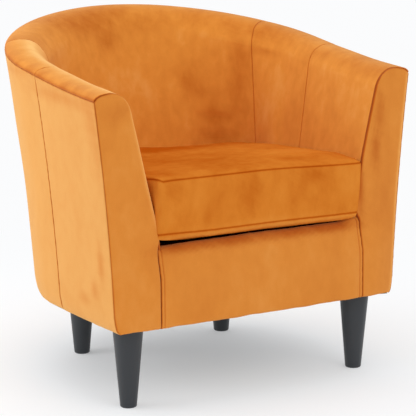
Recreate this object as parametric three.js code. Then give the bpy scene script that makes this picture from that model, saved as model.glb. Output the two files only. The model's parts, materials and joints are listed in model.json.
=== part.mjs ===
// Upholstered tub chair: a timber frame with a curved padded wall, a sprung seat deck,
// four turned legs and a loose box cushion.
// Millimetres, +Z up. The origin is on the floor under the middle of the chair's box,
// the front faces -Y and the chair is symmetric about X = 0.
import * as THREE from "three";

// Overall form of the tub: the plan at its base and the plan of its top seam
const WIDTH = 703;
const DEPTH = 656;
const BASE_HEIGHT = 160;
// How far the base is set in from the top: at the sides, less where the sides swell behind
// the front corners, and at the back
const SIDE_FLARE = 35.5;
const SIDE_SWELL = 9;
const REAR_FLARE = 56;
const TOP_SETBACK = 6;
const BASE_STRAIGHT = 263;
const TOP_STRAIGHT = 311;
const BASE_PLAN = {
  frontHalf: WIDTH / 2 - SIDE_FLARE,
  half: WIDTH / 2 - SIDE_FLARE + SIDE_SWELL,
  straight: BASE_STRAIGHT,
  depth: DEPTH - REAR_FLARE,
  roundnessShare: 1.73,
};
const TOP_PLAN = {
  frontHalf: WIDTH / 2,
  half: WIDTH / 2,
  straight: TOP_STRAIGHT,
  depth: DEPTH - TOP_SETBACK,
  roundnessShare: 1.94,
};
const SEAM_HEIGHT_FRONT = 603;
const SEAM_HEIGHT_BACK = 679.5;
const SEAM_RISE_EXPONENT_SHARE = 1.555;
const FLARE_AT_BASE_SHARE = 0.52;

// Padded roll along the top of the wall, measured inwards and upwards from the outer seam
const ROLL_CREST_DEPTH = 33;
const ROLL_CREST_RISE = 14;
const ROLL_DEPTH = 76;
const ROLL_DROP = 29;
// Handles of the two curves over the roll, as shares of its depth and rise
const ROLL_SEAM_PULL_SHARE = 0.12;
const ROLL_SEAM_RISE_SHARE = 0.75;
const ROLL_CREST_PULL_SHARE = 0.5;
const ROLL_FALL_PULL_SHARE = 0.97;
const WALL_DEPTH_AT_SEAT = 108.5;
const WALL_TAPER_HEIGHT = 248;
const BACK_THICKENING_SHARE = 0.2;
// Padding at seat level: fuller in the middle of the back, thinner in the rear corners,
// which makes the seat squarer in plan than the outside of the tub
const LUMBAR_FULLNESS = 14;
const LUMBAR_SPAN_SHARE = 0.5;
const CORNER_RELIEF = 62;
const CORNER_MIDDLE_SHARE = 0.6;
const CORNER_SPAN_SHARE = 0.32;

// Covers and the space they leave
const CLEARANCE = 0.3;
const COVER = 2;
const TUCK = 7;
const TUCK_HEIGHT = 42;
const DUST_COVER = 1.2;
const PAD = 5.7;

// Seams of the cover, as places along the wall: 0 is the middle of the back, 1 is where
// the curve meets the straight arm and 2 is the front of the arm
const SIDE_SEAM_SHARE = 1.214;
const WING_SEAM_SHARE = 0.708;
const FRAME_JOINT_SHARE = 1.12;
const SIDE_POST_SHARE = 1.28;
const BACK_POST_SHARE = 0.45;

// Timber frame
const RAIL = 28;
const FRONT_BOARD = 18;
const FRONT_RAIL = 22;
const REAR_RAIL = 22;
const REAR_RAIL_SETBACK = 140;
const HOOP_DROP = 20;
const HOOP_HEIGHT = 18;
const HOOP_START = 5.6;
const HOOP_END = 44.7;
const LINING = 3;
const POST = 15;
const POST_WIDTH = 40;
const BLOCK_HEIGHT = 38;
const BLOCK_DEPTH = 70;
const REAR_BLOCK_WIDTH = 62;

// Legs and the bolts that hold them
const LEG_TOP_RADIUS = 30;
const LEG_FOOT_RADIUS = 16;
const LEG_FOOT_ROUND = 2.5;
const LEG_BORE_DEPTH = 42;
const FRONT_LEG_INSET = 55.8;
const FRONT_LEG_SETBACK = 53;
const REAR_LEG_INSET = 23.1;
const BOLT_RADIUS = 4;
const BOLT_POINT = 8;
const T_NUT_RADIUS = 5;
const T_NUT_HEIGHT = 14;
const T_NUT_FLANGE_RADIUS = 11;
const T_NUT_FLANGE = 1.6;

// Seat deck: a plane that falls towards the back
const DECK_HEIGHT = 316;
const DECK_FALL = 36;
const DECK_FALL_RUN = 480;
const DECK_EDGE_GAP = 3;
const DECK_PAD = 15;
const DECK_CLOTH = 1.2;
const NOSE_RADIUS = 15;

// Sinuous springs
const SPRING_WIRE = 1.8;
const SPRING_COUNT = 4;
const SPRING_SIDE_GAP = 66;
const SPRING_HALF_WIDTH = 24;
const SPRING_HALF_PITCH = 25;
const SPRING_STEPS = 6;
const SPRING_SIDES = 5;

// Loose box cushion
const CUSHION_HEIGHT = 108;
const CUSHION_FRONT = 9;
const CUSHION_BOW = 5;
const CUSHION_CORNER = 14;
const CUSHION_WALL_GAP = 1.6;
const CUSHION_SEAM_DRAW = 3;
const CUSHION_CROWN = 24;
const CUSHION_LOWER_CROWN = 15;
const CUSHION_DECK_GAP = 0.4;
const CUSHION_COVER = 1.5;
const CUSHION_MIDDLE_Y = -70;
const CROWN_SHARES = [0.35, 0.65, 0.86, 0.96, 1];
const UPPER_CROWN_EXPONENT_SHARE = 4;
const LOWER_CROWN_EXPONENT_SHARE = 9;
const SEAM_RISE_SHARE = 0.1;

// Facets
const ROLL_STEPS = 5;
const WALL_ROWS = 5;
const LEG_SIDES = 24;
const BOLT_SIDES = 12;
const CORNER_STEPS = 3;
const FRONT_STEPS = 6;
const BOXING_STEPS = 4;
const FRONT_ROWS = 3;
const TUCK_ROWS = 3;
const FOOT_STEPS = 2;
const CURVE_STATIONS = 10;
const ARM_STATIONS = 3;
const STATION_SPACE_SHARE = 0.02;

const COLOURS = {
  velvet: { color: 0xd8832f, roughness: 0.85, metalness: 0 },
  velvetDark: { color: 0xc4701f, roughness: 0.85, metalness: 0 },
  foam: { color: 0xe9dfc0, roughness: 0.95, metalness: 0 },
  timber: { color: 0xc9a468, roughness: 0.7, metalness: 0 },
  hardboard: { color: 0x8a6236, roughness: 0.75, metalness: 0 },
  blackLeg: { color: 0x3c3e42, roughness: 0.45, metalness: 0 },
  steel: { color: 0xa9adb2, roughness: 0.35, metalness: 1 },
  blackCloth: { color: 0x17171a, roughness: 0.95, metalness: 0 },
  deckCloth: { color: 0xb7a98c, roughness: 0.95, metalness: 0 },
};

// Worked out from the sizes above
const SIDES = [["left", -1], ["right", 1]];
const DECK_LAYERS = COVER + DECK_PAD + DECK_CLOTH + 3 * CLEARANCE;
const FRAME_BOTTOM = BASE_HEIGHT + DUST_COVER + CLEARANCE;
const FRAME_SETBACK = COVER + 2 * CLEARANCE;
const ARM_FRAME_START = COVER + FRONT_BOARD + 2 * CLEARANCE;
const REAR_RAIL_Y = -DEPTH / 2 + BASE_PLAN.depth - REAR_RAIL_SETBACK;
const FRAME_FRONT_SHARE = 2 - (ARM_FRAME_START - 2 * CLEARANCE) / TOP_PLAN.straight;
const RAIL_START = TUCK + COVER + 2 * CLEARANCE;
const RAIL_END = RAIL_START + RAIL;
const FRONT_RISE = SEAM_HEIGHT_FRONT - BASE_HEIGHT;
const RAIL_LEAN = (TOP_SETBACK * (DECK_HEIGHT - BASE_HEIGHT)) / FRONT_RISE;
const RAIL_INSET = ARM_FRAME_START + RAIL_LEAN;
const FOAM_SEAT_GAP = 3 * CLEARANCE;

const chair = new THREE.Group();

function materialOf(name) {
  return new THREE.MeshStandardMaterial(COLOURS[name]);
}

function addPiece(name, geometry, colour) {
  const mesh = new THREE.Mesh(geometry, materialOf(colour));
  mesh.name = name;
  chair.add(mesh);
  return mesh;
}

function mix(a, b, share) {
  return a + (b - a) * share;
}

// A closed geometry from rings of points that all have the same number of points. Each
// ring is one section of the piece; the first and last are capped with the triangles given.
// A section that doubles back on itself says at which point, so that the quads on its way
// back are split like those on its way out.
function loftRings(rings, capTriangles, foldedAt = Infinity) {
  const count = rings[0].length;
  const positions = rings.flat().flatMap((p) => [p.x, p.y, p.z]);
  const index = [];
  for (let r = 0; r + 1 < rings.length; r++) {
    for (let i = 0; i < count; i++) {
      const j = (i + 1) % count;
      const a = r * count + i;
      const b = r * count + j;
      const c = (r + 1) * count + j;
      const d = (r + 1) * count + i;
      index.push(...splitQuad(a, b, c, d, i < foldedAt));
    }
  }
  const last = (rings.length - 1) * count;
  for (const [a, b, c] of capTriangles) {
    index.push(a, c, b);
    index.push(last + a, last + b, last + c);
  }
  return facingOut(positions, index);
}

// The two triangles of a quad, split from its first corner or from its second
function splitQuad(a, b, c, d, fromFirst) {
  return fromFirst ? [a, b, c, a, c, d] : [a, b, d, b, c, d];
}

// Turns the faces round if they point inwards, which the sign of the volume tells
function facingOut(positions, index) {
  const at = (i) => new THREE.Vector3().fromArray(positions, 3 * i);
  let volume = 0;
  for (let i = 0; i < index.length; i += 3) {
    volume += at(index[i]).dot(at(index[i + 1]).cross(at(index[i + 2])));
  }
  if (volume < 0) {
    index.reverse();
  }
  const geometry = new THREE.BufferGeometry();
  geometry.setAttribute("position", new THREE.Float32BufferAttribute(positions, 3));
  geometry.setIndex(index);
  return geometry;
}

// The tub's outer surface

// Share of the flare reached at a share of the wall's height
function flareAt(heightShare) {
  return heightShare * mix(FLARE_AT_BASE_SHARE, 1, heightShare);
}

// One point of a plan outline on the right-hand side. A place from 1 to 2 lies on the
// straight arm, a place from 0 to 1 on the curve round the back.
function planPoint(plan, front, place) {
  const corner = front + plan.straight;
  if (place >= 1) {
    const share = place - 1;
    return { x: mix(plan.half, plan.frontHalf, share * share), y: mix(corner, front, share) };
  }
  const angle = ((1 - place) * Math.PI) / 2;
  const power = 2 / plan.roundnessShare;
  const back = front + plan.depth;
  return {
    x: plan.half * Math.abs(Math.cos(angle)) ** power,
    y: mix(corner, back, Math.sin(angle) ** power),
  };
}

function topSeam(place) {
  const front = -DEPTH / 2 + TOP_SETBACK;
  const p = planPoint(TOP_PLAN, front, Math.abs(place));
  const run = Math.max(p.y - front, 0) / TOP_PLAN.depth;
  const rise = SEAM_HEIGHT_BACK - SEAM_HEIGHT_FRONT;
  const z = SEAM_HEIGHT_FRONT + rise * run ** SEAM_RISE_EXPONENT_SHARE;
  return { x: p.x, y: p.y, z, run };
}

// The flat front of the arms leans back a little
function frontPlane(z) {
  return -DEPTH / 2 + (TOP_SETBACK * (z - BASE_HEIGHT)) / FRONT_RISE;
}

// Plan position of the outer surface at a height, for the left side (negative place) and
// the right side, kept so far behind the front plane
function outerPlan(place, z, inset = 0) {
  const seam = topSeam(place);
  const share = Math.min(Math.max((z - BASE_HEIGHT) / (seam.z - BASE_HEIGHT), 0), 1);
  const flare = flareAt(share);
  const base = planPoint(BASE_PLAN, -DEPTH / 2, Math.abs(place));
  const side = place < 0 ? -1 : 1;
  const y = mix(base.y, seam.y, flare);
  return {
    x: side * mix(base.x, seam.x, flare),
    y: Math.abs(place) > 1 ? Math.max(y, frontPlane(z) + inset) : y,
  };
}

// Direction in plan from the outer surface into the tub: straight across on the arms
const NORMAL_STEP_SHARE = 0.005;
function inwards(place, z) {
  if (Math.abs(place) >= 1) {
    return { x: -Math.sign(place), y: 0 };
  }
  const before = outerPlan(place - NORMAL_STEP_SHARE, z);
  const after = outerPlan(place + NORMAL_STEP_SHARE, z);
  const length = Math.hypot(after.x - before.x, after.y - before.y);
  return { x: (after.y - before.y) / length, y: -(after.x - before.x) / length };
}

// A point of the wall: so far in from the outer surface, at a height
function wallPoint(place, depth, z, inset = 0) {
  const p = outerPlan(place, z, inset);
  const n = inwards(place, z);
  return new THREE.Vector3(p.x + n.x * depth, p.y + n.y * depth, z);
}

function thickening(place) {
  return 1 + BACK_THICKENING_SHARE * topSeam(place).run ** 2;
}

// A smooth swelling along the wall: one at its middle and nothing past its span
function swelling(place, middle, span) {
  const share = Math.min(Math.abs(Math.abs(place) - middle) / span, 1);
  return Math.cos((share * Math.PI) / 2) ** 2;
}

// Depth of the wall's inner face below the roll, at a drop under the outer seam
function innerDepth(place, drop, offset = 0) {
  const scale = thickening(place);
  const share = Math.min((drop / scale - ROLL_DROP) / WALL_TAPER_HEIGHT, 1);
  const padding =
    LUMBAR_FULLNESS * swelling(place, 0, LUMBAR_SPAN_SHARE) -
    CORNER_RELIEF * swelling(place, CORNER_MIDDLE_SHARE, CORNER_SPAN_SHARE);
  return mix(ROLL_DEPTH, WALL_DEPTH_AT_SEAT, share) * scale + padding * share - offset;
}

// The roll's outline in its own section, from the outer seam over the crest to the inner face
const rollRise = new THREE.CubicBezierCurve(
  new THREE.Vector2(0, 0),
  new THREE.Vector2(ROLL_CREST_DEPTH * ROLL_SEAM_PULL_SHARE, ROLL_CREST_RISE * ROLL_SEAM_RISE_SHARE),
  new THREE.Vector2(ROLL_CREST_DEPTH * ROLL_CREST_PULL_SHARE, ROLL_CREST_RISE),
  new THREE.Vector2(ROLL_CREST_DEPTH, ROLL_CREST_RISE),
);
const rollFall = new THREE.CubicBezierCurve(
  new THREE.Vector2(ROLL_CREST_DEPTH, ROLL_CREST_RISE),
  new THREE.Vector2(mix(ROLL_CREST_DEPTH, ROLL_DEPTH, ROLL_CREST_PULL_SHARE), ROLL_CREST_RISE),
  new THREE.Vector2(ROLL_DEPTH * ROLL_FALL_PULL_SHARE, 0),
  new THREE.Vector2(ROLL_DEPTH, -ROLL_DROP),
);

// Points over the roll, each set in from the surface along its own normal
function rollOutline(place, offset) {
  const scale = thickening(place);
  const points = [];
  for (const curve of [rollRise, rollFall]) {
    const first = curve === rollRise ? 0 : 1;
    for (let i = first; i <= ROLL_STEPS; i++) {
      const p = curve.getPoint(i / ROLL_STEPS);
      const t = curve.getTangent(i / ROLL_STEPS);
      points.push([p.x * scale + t.y * offset, p.y * scale - t.x * offset]);
    }
  }
  return points;
}

// Depth and height pairs down the inner face, from under the roll to a bottom height
function innerFace(place, offset, bottom) {
  const seam = topSeam(place).z;
  const top = seam - ROLL_DROP * thickening(place);
  const points = [];
  for (let i = 1; i <= WALL_ROWS; i++) {
    const z = mix(top, bottom, i / WALL_ROWS);
    points.push([innerDepth(place, seam - z, offset), z]);
  }
  return points;
}

// How far the outside cover is drawn in near its lower edge
function tuckAt(z) {
  const share = Math.max(0, 1 - (z - BASE_HEIGHT) / TUCK_HEIGHT);
  return TUCK * share * share;
}

// Depth and height pairs up the outer face, from a bottom height to the seam less a drop
function outerFace(place, offset, bottom, drop) {
  const top = topSeam(place).z - drop;
  const points = [];
  const tuckTop = BASE_HEIGHT + TUCK_HEIGHT;
  for (let i = 0; i < TUCK_ROWS; i++) {
    const z = mix(bottom, tuckTop, i / TUCK_ROWS);
    points.push([tuckAt(z) + offset, z]);
  }
  for (let i = 0; i <= WALL_ROWS; i++) {
    points.push([offset, mix(tuckTop, top, i / WALL_ROWS)]);
  }
  return points;
}

// Section pairs over the roll with heights instead of rises
function rollFace(place, offset) {
  const seam = topSeam(place).z;
  return rollOutline(place, offset).map(([depth, rise]) => [depth, seam + rise]);
}

function spread(from, to, count) {
  return Array.from({ length: count + 1 }, (_, i) => mix(from, to, i / count));
}

// The places of a sweep's sections: both ends, and every shared station between them, so
// that neighbouring layers have their facets in line
function placesBetween(from, to) {
  const shared = [SIDE_SEAM_SHARE, WING_SEAM_SHARE, FRAME_FRONT_SHARE];
  for (let i = 0; i <= CURVE_STATIONS; i++) {
    shared.push(i / CURVE_STATIONS);
  }
  for (let i = 1; i < ARM_STATIONS; i++) {
    shared.push(mix(SIDE_SEAM_SHARE, 2, i / ARM_STATIONS));
  }
  const both = [...shared, ...shared.map((place) => -place)];
  const low = Math.min(from, to) + STATION_SPACE_SHARE;
  const high = Math.max(from, to) - STATION_SPACE_SHARE;
  const inside = both.filter((place) => place > low && place < high).sort((a, b) => a - b);
  const unique = inside.filter((place, i) => i === 0 || place - inside[i - 1] > GAP_SHARE);
  return from < to ? [from, ...unique, to] : [from, ...unique.reverse(), to];
}

// A piece swept along the wall. The section is a closed outline of depth and height pairs
// for each place.
function wallSweep(places, sectionAt, inset = 0, cap = capOf, foldedAt = Infinity) {
  const sections = places.map(sectionAt);
  const rings = sections.map((section, i) =>
    section.map(([depth, z]) => wallPoint(places[i], depth, z, inset)),
  );
  return loftRings(rings, cap(sections[0]), foldedAt);
}

// Triangles across the end of a thin cover, whose section runs along its outer face and
// back along its inner face
function stripCap(section) {
  const last = section.length - 1;
  const triangles = [];
  for (let i = 0; i + 1 < section.length / 2; i++) {
    triangles.push([i, i + 1, last - i], [i + 1, last - i - 1, last - i]);
  }
  return triangles;
}

function coverSweep(places, sectionAt, inset = 0) {
  const half = sectionAt(places[0]).length / 2;
  return wallSweep(places, sectionAt, inset, stripCap, half);
}

// Triangles that fill a section, turned the same way round as its outline
function capOf(section) {
  const outline = section.map(([u, v]) => new THREE.Vector2(u, v));
  const triangles = THREE.ShapeUtils.triangulateShape(outline, []);
  const first = triangles[0].map((i) => outline[i]);
  if (THREE.ShapeUtils.area(outline) * THREE.ShapeUtils.area(first) < 0) {
    triangles.forEach((t) => t.reverse());
  }
  return triangles;
}

// Height of the seat deck's top
function deckTop(y) {
  return DECK_HEIGHT - (DECK_FALL * (y + DEPTH / 2)) / DECK_FALL_RUN;
}

// Heights at which the rim of the deck and its springs are carried
function rimTop(y) {
  return deckTop(y) - DECK_LAYERS;
}
function springRailTop(y) {
  return rimTop(y) - 2 * SPRING_WIRE - CLEARANCE;
}

// Height at which the inside cover, foam and lining stand on the deck
function wallFoot(place) {
  return deckTop(wallPoint(place, innerDepth(place, DEPTH), DECK_HEIGHT).y) + CLEARANCE;
}

// Share of a place that a clearance takes up on the curve
const GAP_SHARE = CLEARANCE / ((Math.PI / 2) * TOP_PLAN.half);

// Covers of the wall

function insideCoverSection(place) {
  const bottom = wallFoot(place);
  const outer = [...rollFace(place, 0), ...innerFace(place, 0, bottom)];
  const inner = [...rollFace(place, COVER), ...innerFace(place, COVER, bottom)];
  return [...outer, ...inner.reverse()];
}

function outsideCoverSection(place) {
  const outer = outerFace(place, 0, BASE_HEIGHT, CLEARANCE);
  const inner = outerFace(place, COVER, BASE_HEIGHT, COVER + CLEARANCE);
  return [...outer, ...inner.reverse()];
}

function addWallCovers() {
  const start = COVER + CLEARANCE;
  for (const [name, side] of SIDES) {
    const arm = placesBetween(side * 2, side * (SIDE_SEAM_SHARE + GAP_SHARE));
    const wing = placesBetween(side * SIDE_SEAM_SHARE, side * (WING_SEAM_SHARE + GAP_SHARE));
    addPiece("inside_arm_cover_" + name, coverSweep(arm, insideCoverSection, start), "velvet");
    addPiece("inside_wing_cover_" + name, coverSweep(wing, insideCoverSection), "velvet");
    addPiece("outside_arm_cover_" + name, coverSweep(arm, outsideCoverSection, start), "velvet");
  }
  const back = placesBetween(-WING_SEAM_SHARE, WING_SEAM_SHARE);
  addPiece("inside_back_cover", coverSweep(back, insideCoverSection), "velvet");
  const outside = placesBetween(-SIDE_SEAM_SHARE, SIDE_SEAM_SHARE);
  addPiece("outside_back_cover", coverSweep(outside, outsideCoverSection), "velvet");
}

// Closed outline of the whole wall near the front of the arm, set in by an offset
function armEndSection(place, offset, bottom) {
  const outer = outerFace(place, offset, bottom, offset);
  const roll = rollFace(place, offset);
  const foot = wallFoot(place);
  const inner = innerFace(place, offset, foot);
  const drop = topSeam(place).z - foot;
  const below = spread(foot, bottom, FRONT_ROWS).slice(1);
  const plinth = below.map((z) => [innerDepth(place, drop, offset), z]);
  return [...outer.slice(0, -1), ...roll, ...inner, ...plinth];
}

// A board or panel that closes the front end of an arm. Its two faces are given as a place
// and an inset behind the front plane.
function armEndPanel(side, offset, bottom, faces) {
  const rings = faces.map(([place, inset]) =>
    armEndSection(place, offset, bottom).map(([depth, z]) =>
      wallPoint(side * place, depth, z, inset),
    ),
  );
  return loftRings(rings, capOf(armEndSection(2, offset, bottom)));
}

function addArmEnds() {
  const start = COVER + CLEARANCE;
  const end = ARM_FRAME_START - CLEARANCE;
  const boardFaces = [[2, start], [FRAME_FRONT_SHARE, end]];
  for (const [name, side] of SIDES) {
    const facing = armEndPanel(side, 0, BASE_HEIGHT, [[2, 0], [2, COVER]]);
    addPiece("arm_facing_" + name, facing, "velvet");
    const board = armEndPanel(side, FRAME_SETBACK, FRAME_BOTTOM, boardFaces);
    addPiece("arm_front_board_" + name, board, "timber");
  }
}

// Timber frame

// Section of a rail that stands upright on the base plan. Its top follows the seat's fall
// and carries the edge of the deck.
function railSection(place) {
  const y = outerPlan(place, BASE_HEIGHT, RAIL_INSET).y;
  const back = inwards(place, BASE_HEIGHT).y;
  return [
    [RAIL_START, FRAME_BOTTOM],
    [RAIL_START, rimTop(y + back * RAIL_START) - CLEARANCE],
    [RAIL_END, rimTop(y + back * RAIL_END) - CLEARANCE],
    [RAIL_END, FRAME_BOTTOM],
  ];
}

// A sweep whose outline stays that of the base at every height
function uprightSweep(places, sectionAt, inset = 0) {
  const sections = places.map(sectionAt);
  const rings = sections.map((section, i) =>
    section.map(([depth, z]) => wallPoint(places[i], depth, BASE_HEIGHT, inset).setZ(z)),
  );
  return loftRings(rings, capOf(sections[0]));
}

function hoopSection(place) {
  const top = topSeam(place).z - HOOP_DROP;
  const bottom = top - HOOP_HEIGHT;
  return [
    [HOOP_START, bottom],
    [HOOP_START, top],
    [HOOP_END, top],
    [HOOP_END, bottom],
  ];
}

function liningSection(place) {
  const start = HOOP_END + CLEARANCE;
  const bottom = wallFoot(place);
  const top = topSeam(place).z - HOOP_DROP - CLEARANCE;
  const outer = spread(bottom, top, WALL_ROWS).map((z) => [start, z]);
  const inner = spread(bottom, top, WALL_ROWS).map((z) => [start + LINING, z]);
  return [...outer, ...inner.reverse()];
}

// Foam over the hoop and down the inside of the wall
function foamSection(place) {
  const offset = COVER + 2 * CLEARANCE;
  const start = HOOP_END + 3 * CLEARANCE + LINING;
  const bottom = wallFoot(place);
  const shelf = topSeam(place).z - HOOP_DROP + FOAM_SEAT_GAP;
  const back = spread(bottom, shelf, WALL_ROWS).map((z) => [start, z]);
  const face = [...rollFace(place, offset), ...innerFace(place, offset, bottom)];
  return [...face, ...back, [offset, shelf]];
}

// A post between two level quads of the wall: on the rail below and under the hoop
function postBetween(place) {
  const side = Math.sign(place);
  const half = POST_WIDTH / 2 / ((Math.PI / 2) * TOP_PLAN.half);
  const corners = [
    [place - half, 0],
    [place + half, 0],
    [place + half, POST],
    [place - half, POST],
  ];
  const foot = corners.map(([at, depth]) => {
    const p = wallPoint(at, RAIL_START + depth, BASE_HEIGHT);
    return p.setZ(rimTop(p.y));
  });
  const head = corners.map(([at, depth]) => {
    const top = topSeam(at).z - HOOP_DROP - HOOP_HEIGHT - CLEARANCE;
    return wallPoint(at, HOOP_START + depth, top).setZ(top);
  });
  const cap = [[0, 1, 2], [0, 2, 3]];
  return loftRings(side > 0 ? [foot, head] : [head, foot], cap);
}

function addTubFrame() {
  const joint = FRAME_JOINT_SHARE;
  const back = placesBetween(-joint + GAP_SHARE, joint - GAP_SHARE);
  for (const [name, side] of SIDES) {
    const arm = placesBetween(side * FRAME_FRONT_SHARE, side * joint);
    const rail = uprightSweep(arm, railSection, RAIL_INSET);
    addPiece("side_rail_" + name, rail, "timber");
    addPiece("top_rail_" + name, wallSweep(arm, hoopSection, ARM_FRAME_START), "timber");
    const lining = coverSweep(arm, liningSection, ARM_FRAME_START);
    addPiece("inner_lining_" + name, lining, "hardboard");
    addPiece("side_post_" + name, postBetween(side * SIDE_POST_SHARE), "timber");
    addPiece("back_post_" + name, postBetween(side * BACK_POST_SHARE), "timber");
  }
  addPiece("back_rail_curved", uprightSweep(back, railSection), "timber");
  addPiece("top_rail_back", wallSweep(back, hoopSection), "timber");
  addPiece("inner_lining_back", coverSweep(back, liningSection), "hardboard");
}

// Both foams meet at the wing seam, so their ends are filled with the same triangles
function addWallFoam() {
  const cap = () => capOf(foamSection(WING_SEAM_SHARE));
  for (const [name, side] of SIDES) {
    const arm = placesBetween(side * FRAME_FRONT_SHARE, side * (WING_SEAM_SHARE + GAP_SHARE));
    addPiece("arm_foam_" + name, wallSweep(arm, foamSection, ARM_FRAME_START, cap), "foam");
  }
  const back = placesBetween(-WING_SEAM_SHARE, WING_SEAM_SHARE);
  addPiece("back_foam", wallSweep(back, foamSection, 0, cap), "foam");
}

// Front of the seat, between the arms

// Half the width between the arm facings at a height
function frontHalfWidth(z) {
  return outerPlan(2, z).x - innerDepth(2, topSeam(2).z - z) - CLEARANCE;
}

// A piece that runs straight across the front. Its section is inset and height pairs.
function acrossFront(section, widen, cap) {
  const rings = [-1, 1].map((side) =>
    section.map(([inset, z]) => {
      const x = side * (frontHalfWidth(z) + widen);
      return new THREE.Vector3(x, frontPlane(z) + inset, z);
    }),
  );
  return loftRings(rings, cap);
}

// The rounded front edge of the seat, set in by an offset
function noseOutline(offset, bottom) {
  const points = spread(bottom, DECK_HEIGHT - NOSE_RADIUS, FRONT_ROWS)
    .slice(0, -1)
    .map((z) => [offset, z]);
  for (let i = 0; i <= ROLL_STEPS; i++) {
    const angle = ((i / ROLL_STEPS) * Math.PI) / 2;
    const inset = NOSE_RADIUS - (NOSE_RADIUS - offset) * Math.cos(angle);
    points.push([inset, DECK_HEIGHT - NOSE_RADIUS + (NOSE_RADIUS - offset) * Math.sin(angle)]);
  }
  points.push([ARM_FRAME_START - CLEARANCE, DECK_HEIGHT - offset]);
  return points;
}

function addSeatFront() {
  const outer = noseOutline(0, BASE_HEIGHT);
  const inner = noseOutline(COVER, BASE_HEIGHT);
  const cover = [...outer, ...inner.reverse()];
  addPiece("front_border_cover", acrossFront(cover, 0, stripCap(cover)), "velvet");
  const railFront = COVER + 2 * CLEARANCE + PAD;
  const railTop = (inset) => springRailTop(inset - DEPTH / 2);
  const pad = [
    ...noseOutline(COVER + CLEARANCE, FRAME_BOTTOM),
    [ARM_FRAME_START - CLEARANCE, railTop(railFront) + CLEARANCE],
    [railFront - CLEARANCE, railTop(railFront) + CLEARANCE],
    [railFront - CLEARANCE, FRAME_BOTTOM],
  ];
  addPiece("front_border_pad", acrossFront(pad, 0, capOf(pad)), "foam");
  const railBack = railFront + FRONT_RAIL;
  const rail = [
    [railFront, FRAME_BOTTOM],
    [railFront, railTop(railFront)],
    [railBack, railTop(railBack)],
    [railBack, FRAME_BOTTOM],
  ];
  const railEnd = FRAME_SETBACK - 2 * CLEARANCE;
  addPiece("front_rail", acrossFront(rail, railEnd, capOf(rail)), "timber");
}

// Prism over a plan outline, between heights that follow the seat's fall
function planPrism(outline, bottomAt, topAt) {
  const rings = [bottomAt, topAt].map((heightAt) =>
    outline.map(([x, y]) => new THREE.Vector3(x, y, heightAt(y))),
  );
  return loftRings(rings, capOf(outline));
}

// Where the straight rear rail meets the inner face of the curved back rail
function backRailInnerX(y) {
  const places = placesBetween(0, FRAME_JOINT_SHARE - GAP_SHARE);
  const points = places.map((place) => wallPoint(place, RAIL_END, BASE_HEIGHT));
  const i = points.findIndex((p) => p.y < y);
  const [a, b] = [points[i - 1], points[i]];
  return mix(a.x, b.x, (a.y - y) / (a.y - b.y));
}

function addRearRail() {
  const far = REAR_RAIL_Y + REAR_RAIL;
  const near = backRailInnerX(REAR_RAIL_Y) - CLEARANCE;
  const end = backRailInnerX(far) - CLEARANCE;
  const outline = [
    [-near, REAR_RAIL_Y],
    [near, REAR_RAIL_Y],
    [end, far],
    [-end, far],
  ];
  addPiece("rear_rail", planPrism(outline, () => FRAME_BOTTOM, springRailTop), "timber");
}

// Seat deck and its springs

// The deck's edge lies on the rails, just inside the posts that stand on them
function deckOutline() {
  const depth = RAIL_START + POST + DECK_EDGE_GAP;
  return placesBetween(2, -2).map((place) => {
    const p = wallPoint(place, depth, BASE_HEIGHT, RAIL_INSET);
    return [p.x, p.y];
  });
}

function addDeck() {
  const outline = deckOutline();
  const layers = [
    ["deck_cover", COVER, "velvetDark"],
    ["deck_pad", DECK_PAD, "foam"],
    ["deck_cloth", DECK_CLOTH, "deckCloth"],
  ];
  let depth = 0;
  for (const [name, thickness, colour] of layers) {
    const top = depth;
    const bottom = depth + thickness;
    const layer = planPrism(outline, (y) => deckTop(y) - bottom, (y) => deckTop(y) - top);
    addPiece(name, layer, colour);
    depth = bottom + CLEARANCE;
  }
}

// Centre line of a sinuous spring: straight bars across, joined by round turns, lying in
// the plane under the deck cloth. Springs on the left mirror those on the right.
class SpringPath extends THREE.Curve {
  constructor(x, from, to) {
    super();
    this.x = x;
    this.reach = x < 0 ? -SPRING_HALF_WIDTH : SPRING_HALF_WIDTH;
    this.from = from;
    this.turns = Math.round((to - from) / SPRING_HALF_PITCH);
    this.pitch = (to - from) / this.turns;
  }

  getPoint(share, target = new THREE.Vector3()) {
    const angle = share * this.turns * Math.PI;
    const x = this.x + this.reach * Math.cos(angle);
    const y = this.from + (this.pitch / Math.PI) * (angle + Math.sin(2 * angle) / 2);
    return target.set(x, y, springRailTop(y) + SPRING_WIRE + CLEARANCE / 2);
  }
}

function springSection() {
  const shape = new THREE.Shape();
  for (let i = 0; i < SPRING_SIDES; i++) {
    const angle = (2 * Math.PI * i) / SPRING_SIDES;
    const x = SPRING_WIRE * Math.cos(angle);
    const y = SPRING_WIRE * Math.sin(angle);
    if (i === 0) {
      shape.moveTo(x, y);
    } else {
      shape.lineTo(x, y);
    }
  }
  return shape;
}

function addSprings() {
  const from = frontPlane(DECK_HEIGHT) + ARM_FRAME_START + SPRING_WIRE;
  const to = REAR_RAIL_Y + REAR_RAIL / 2;
  const span = 2 * (frontHalfWidth(DECK_HEIGHT) - SPRING_SIDE_GAP);
  for (let i = 0; i < SPRING_COUNT; i++) {
    const x = span * (i / (SPRING_COUNT - 1) - 1 / 2);
    const path = new SpringPath(x, from, to);
    const options = { extrudePath: path, steps: path.turns * SPRING_STEPS };
    addPiece("seat_spring_" + (i + 1), new THREE.ExtrudeGeometry(springSection(), options), "steel");
  }
}

// Legs, leg blocks and their bolts

// A turned piece from radius and height pairs, standing along Z
function turned(profile, sides) {
  const points = profile.map(([radius, z]) => new THREE.Vector2(radius, z));
  return new THREE.LatheGeometry(points, sides).rotateX(Math.PI / 2);
}

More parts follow.
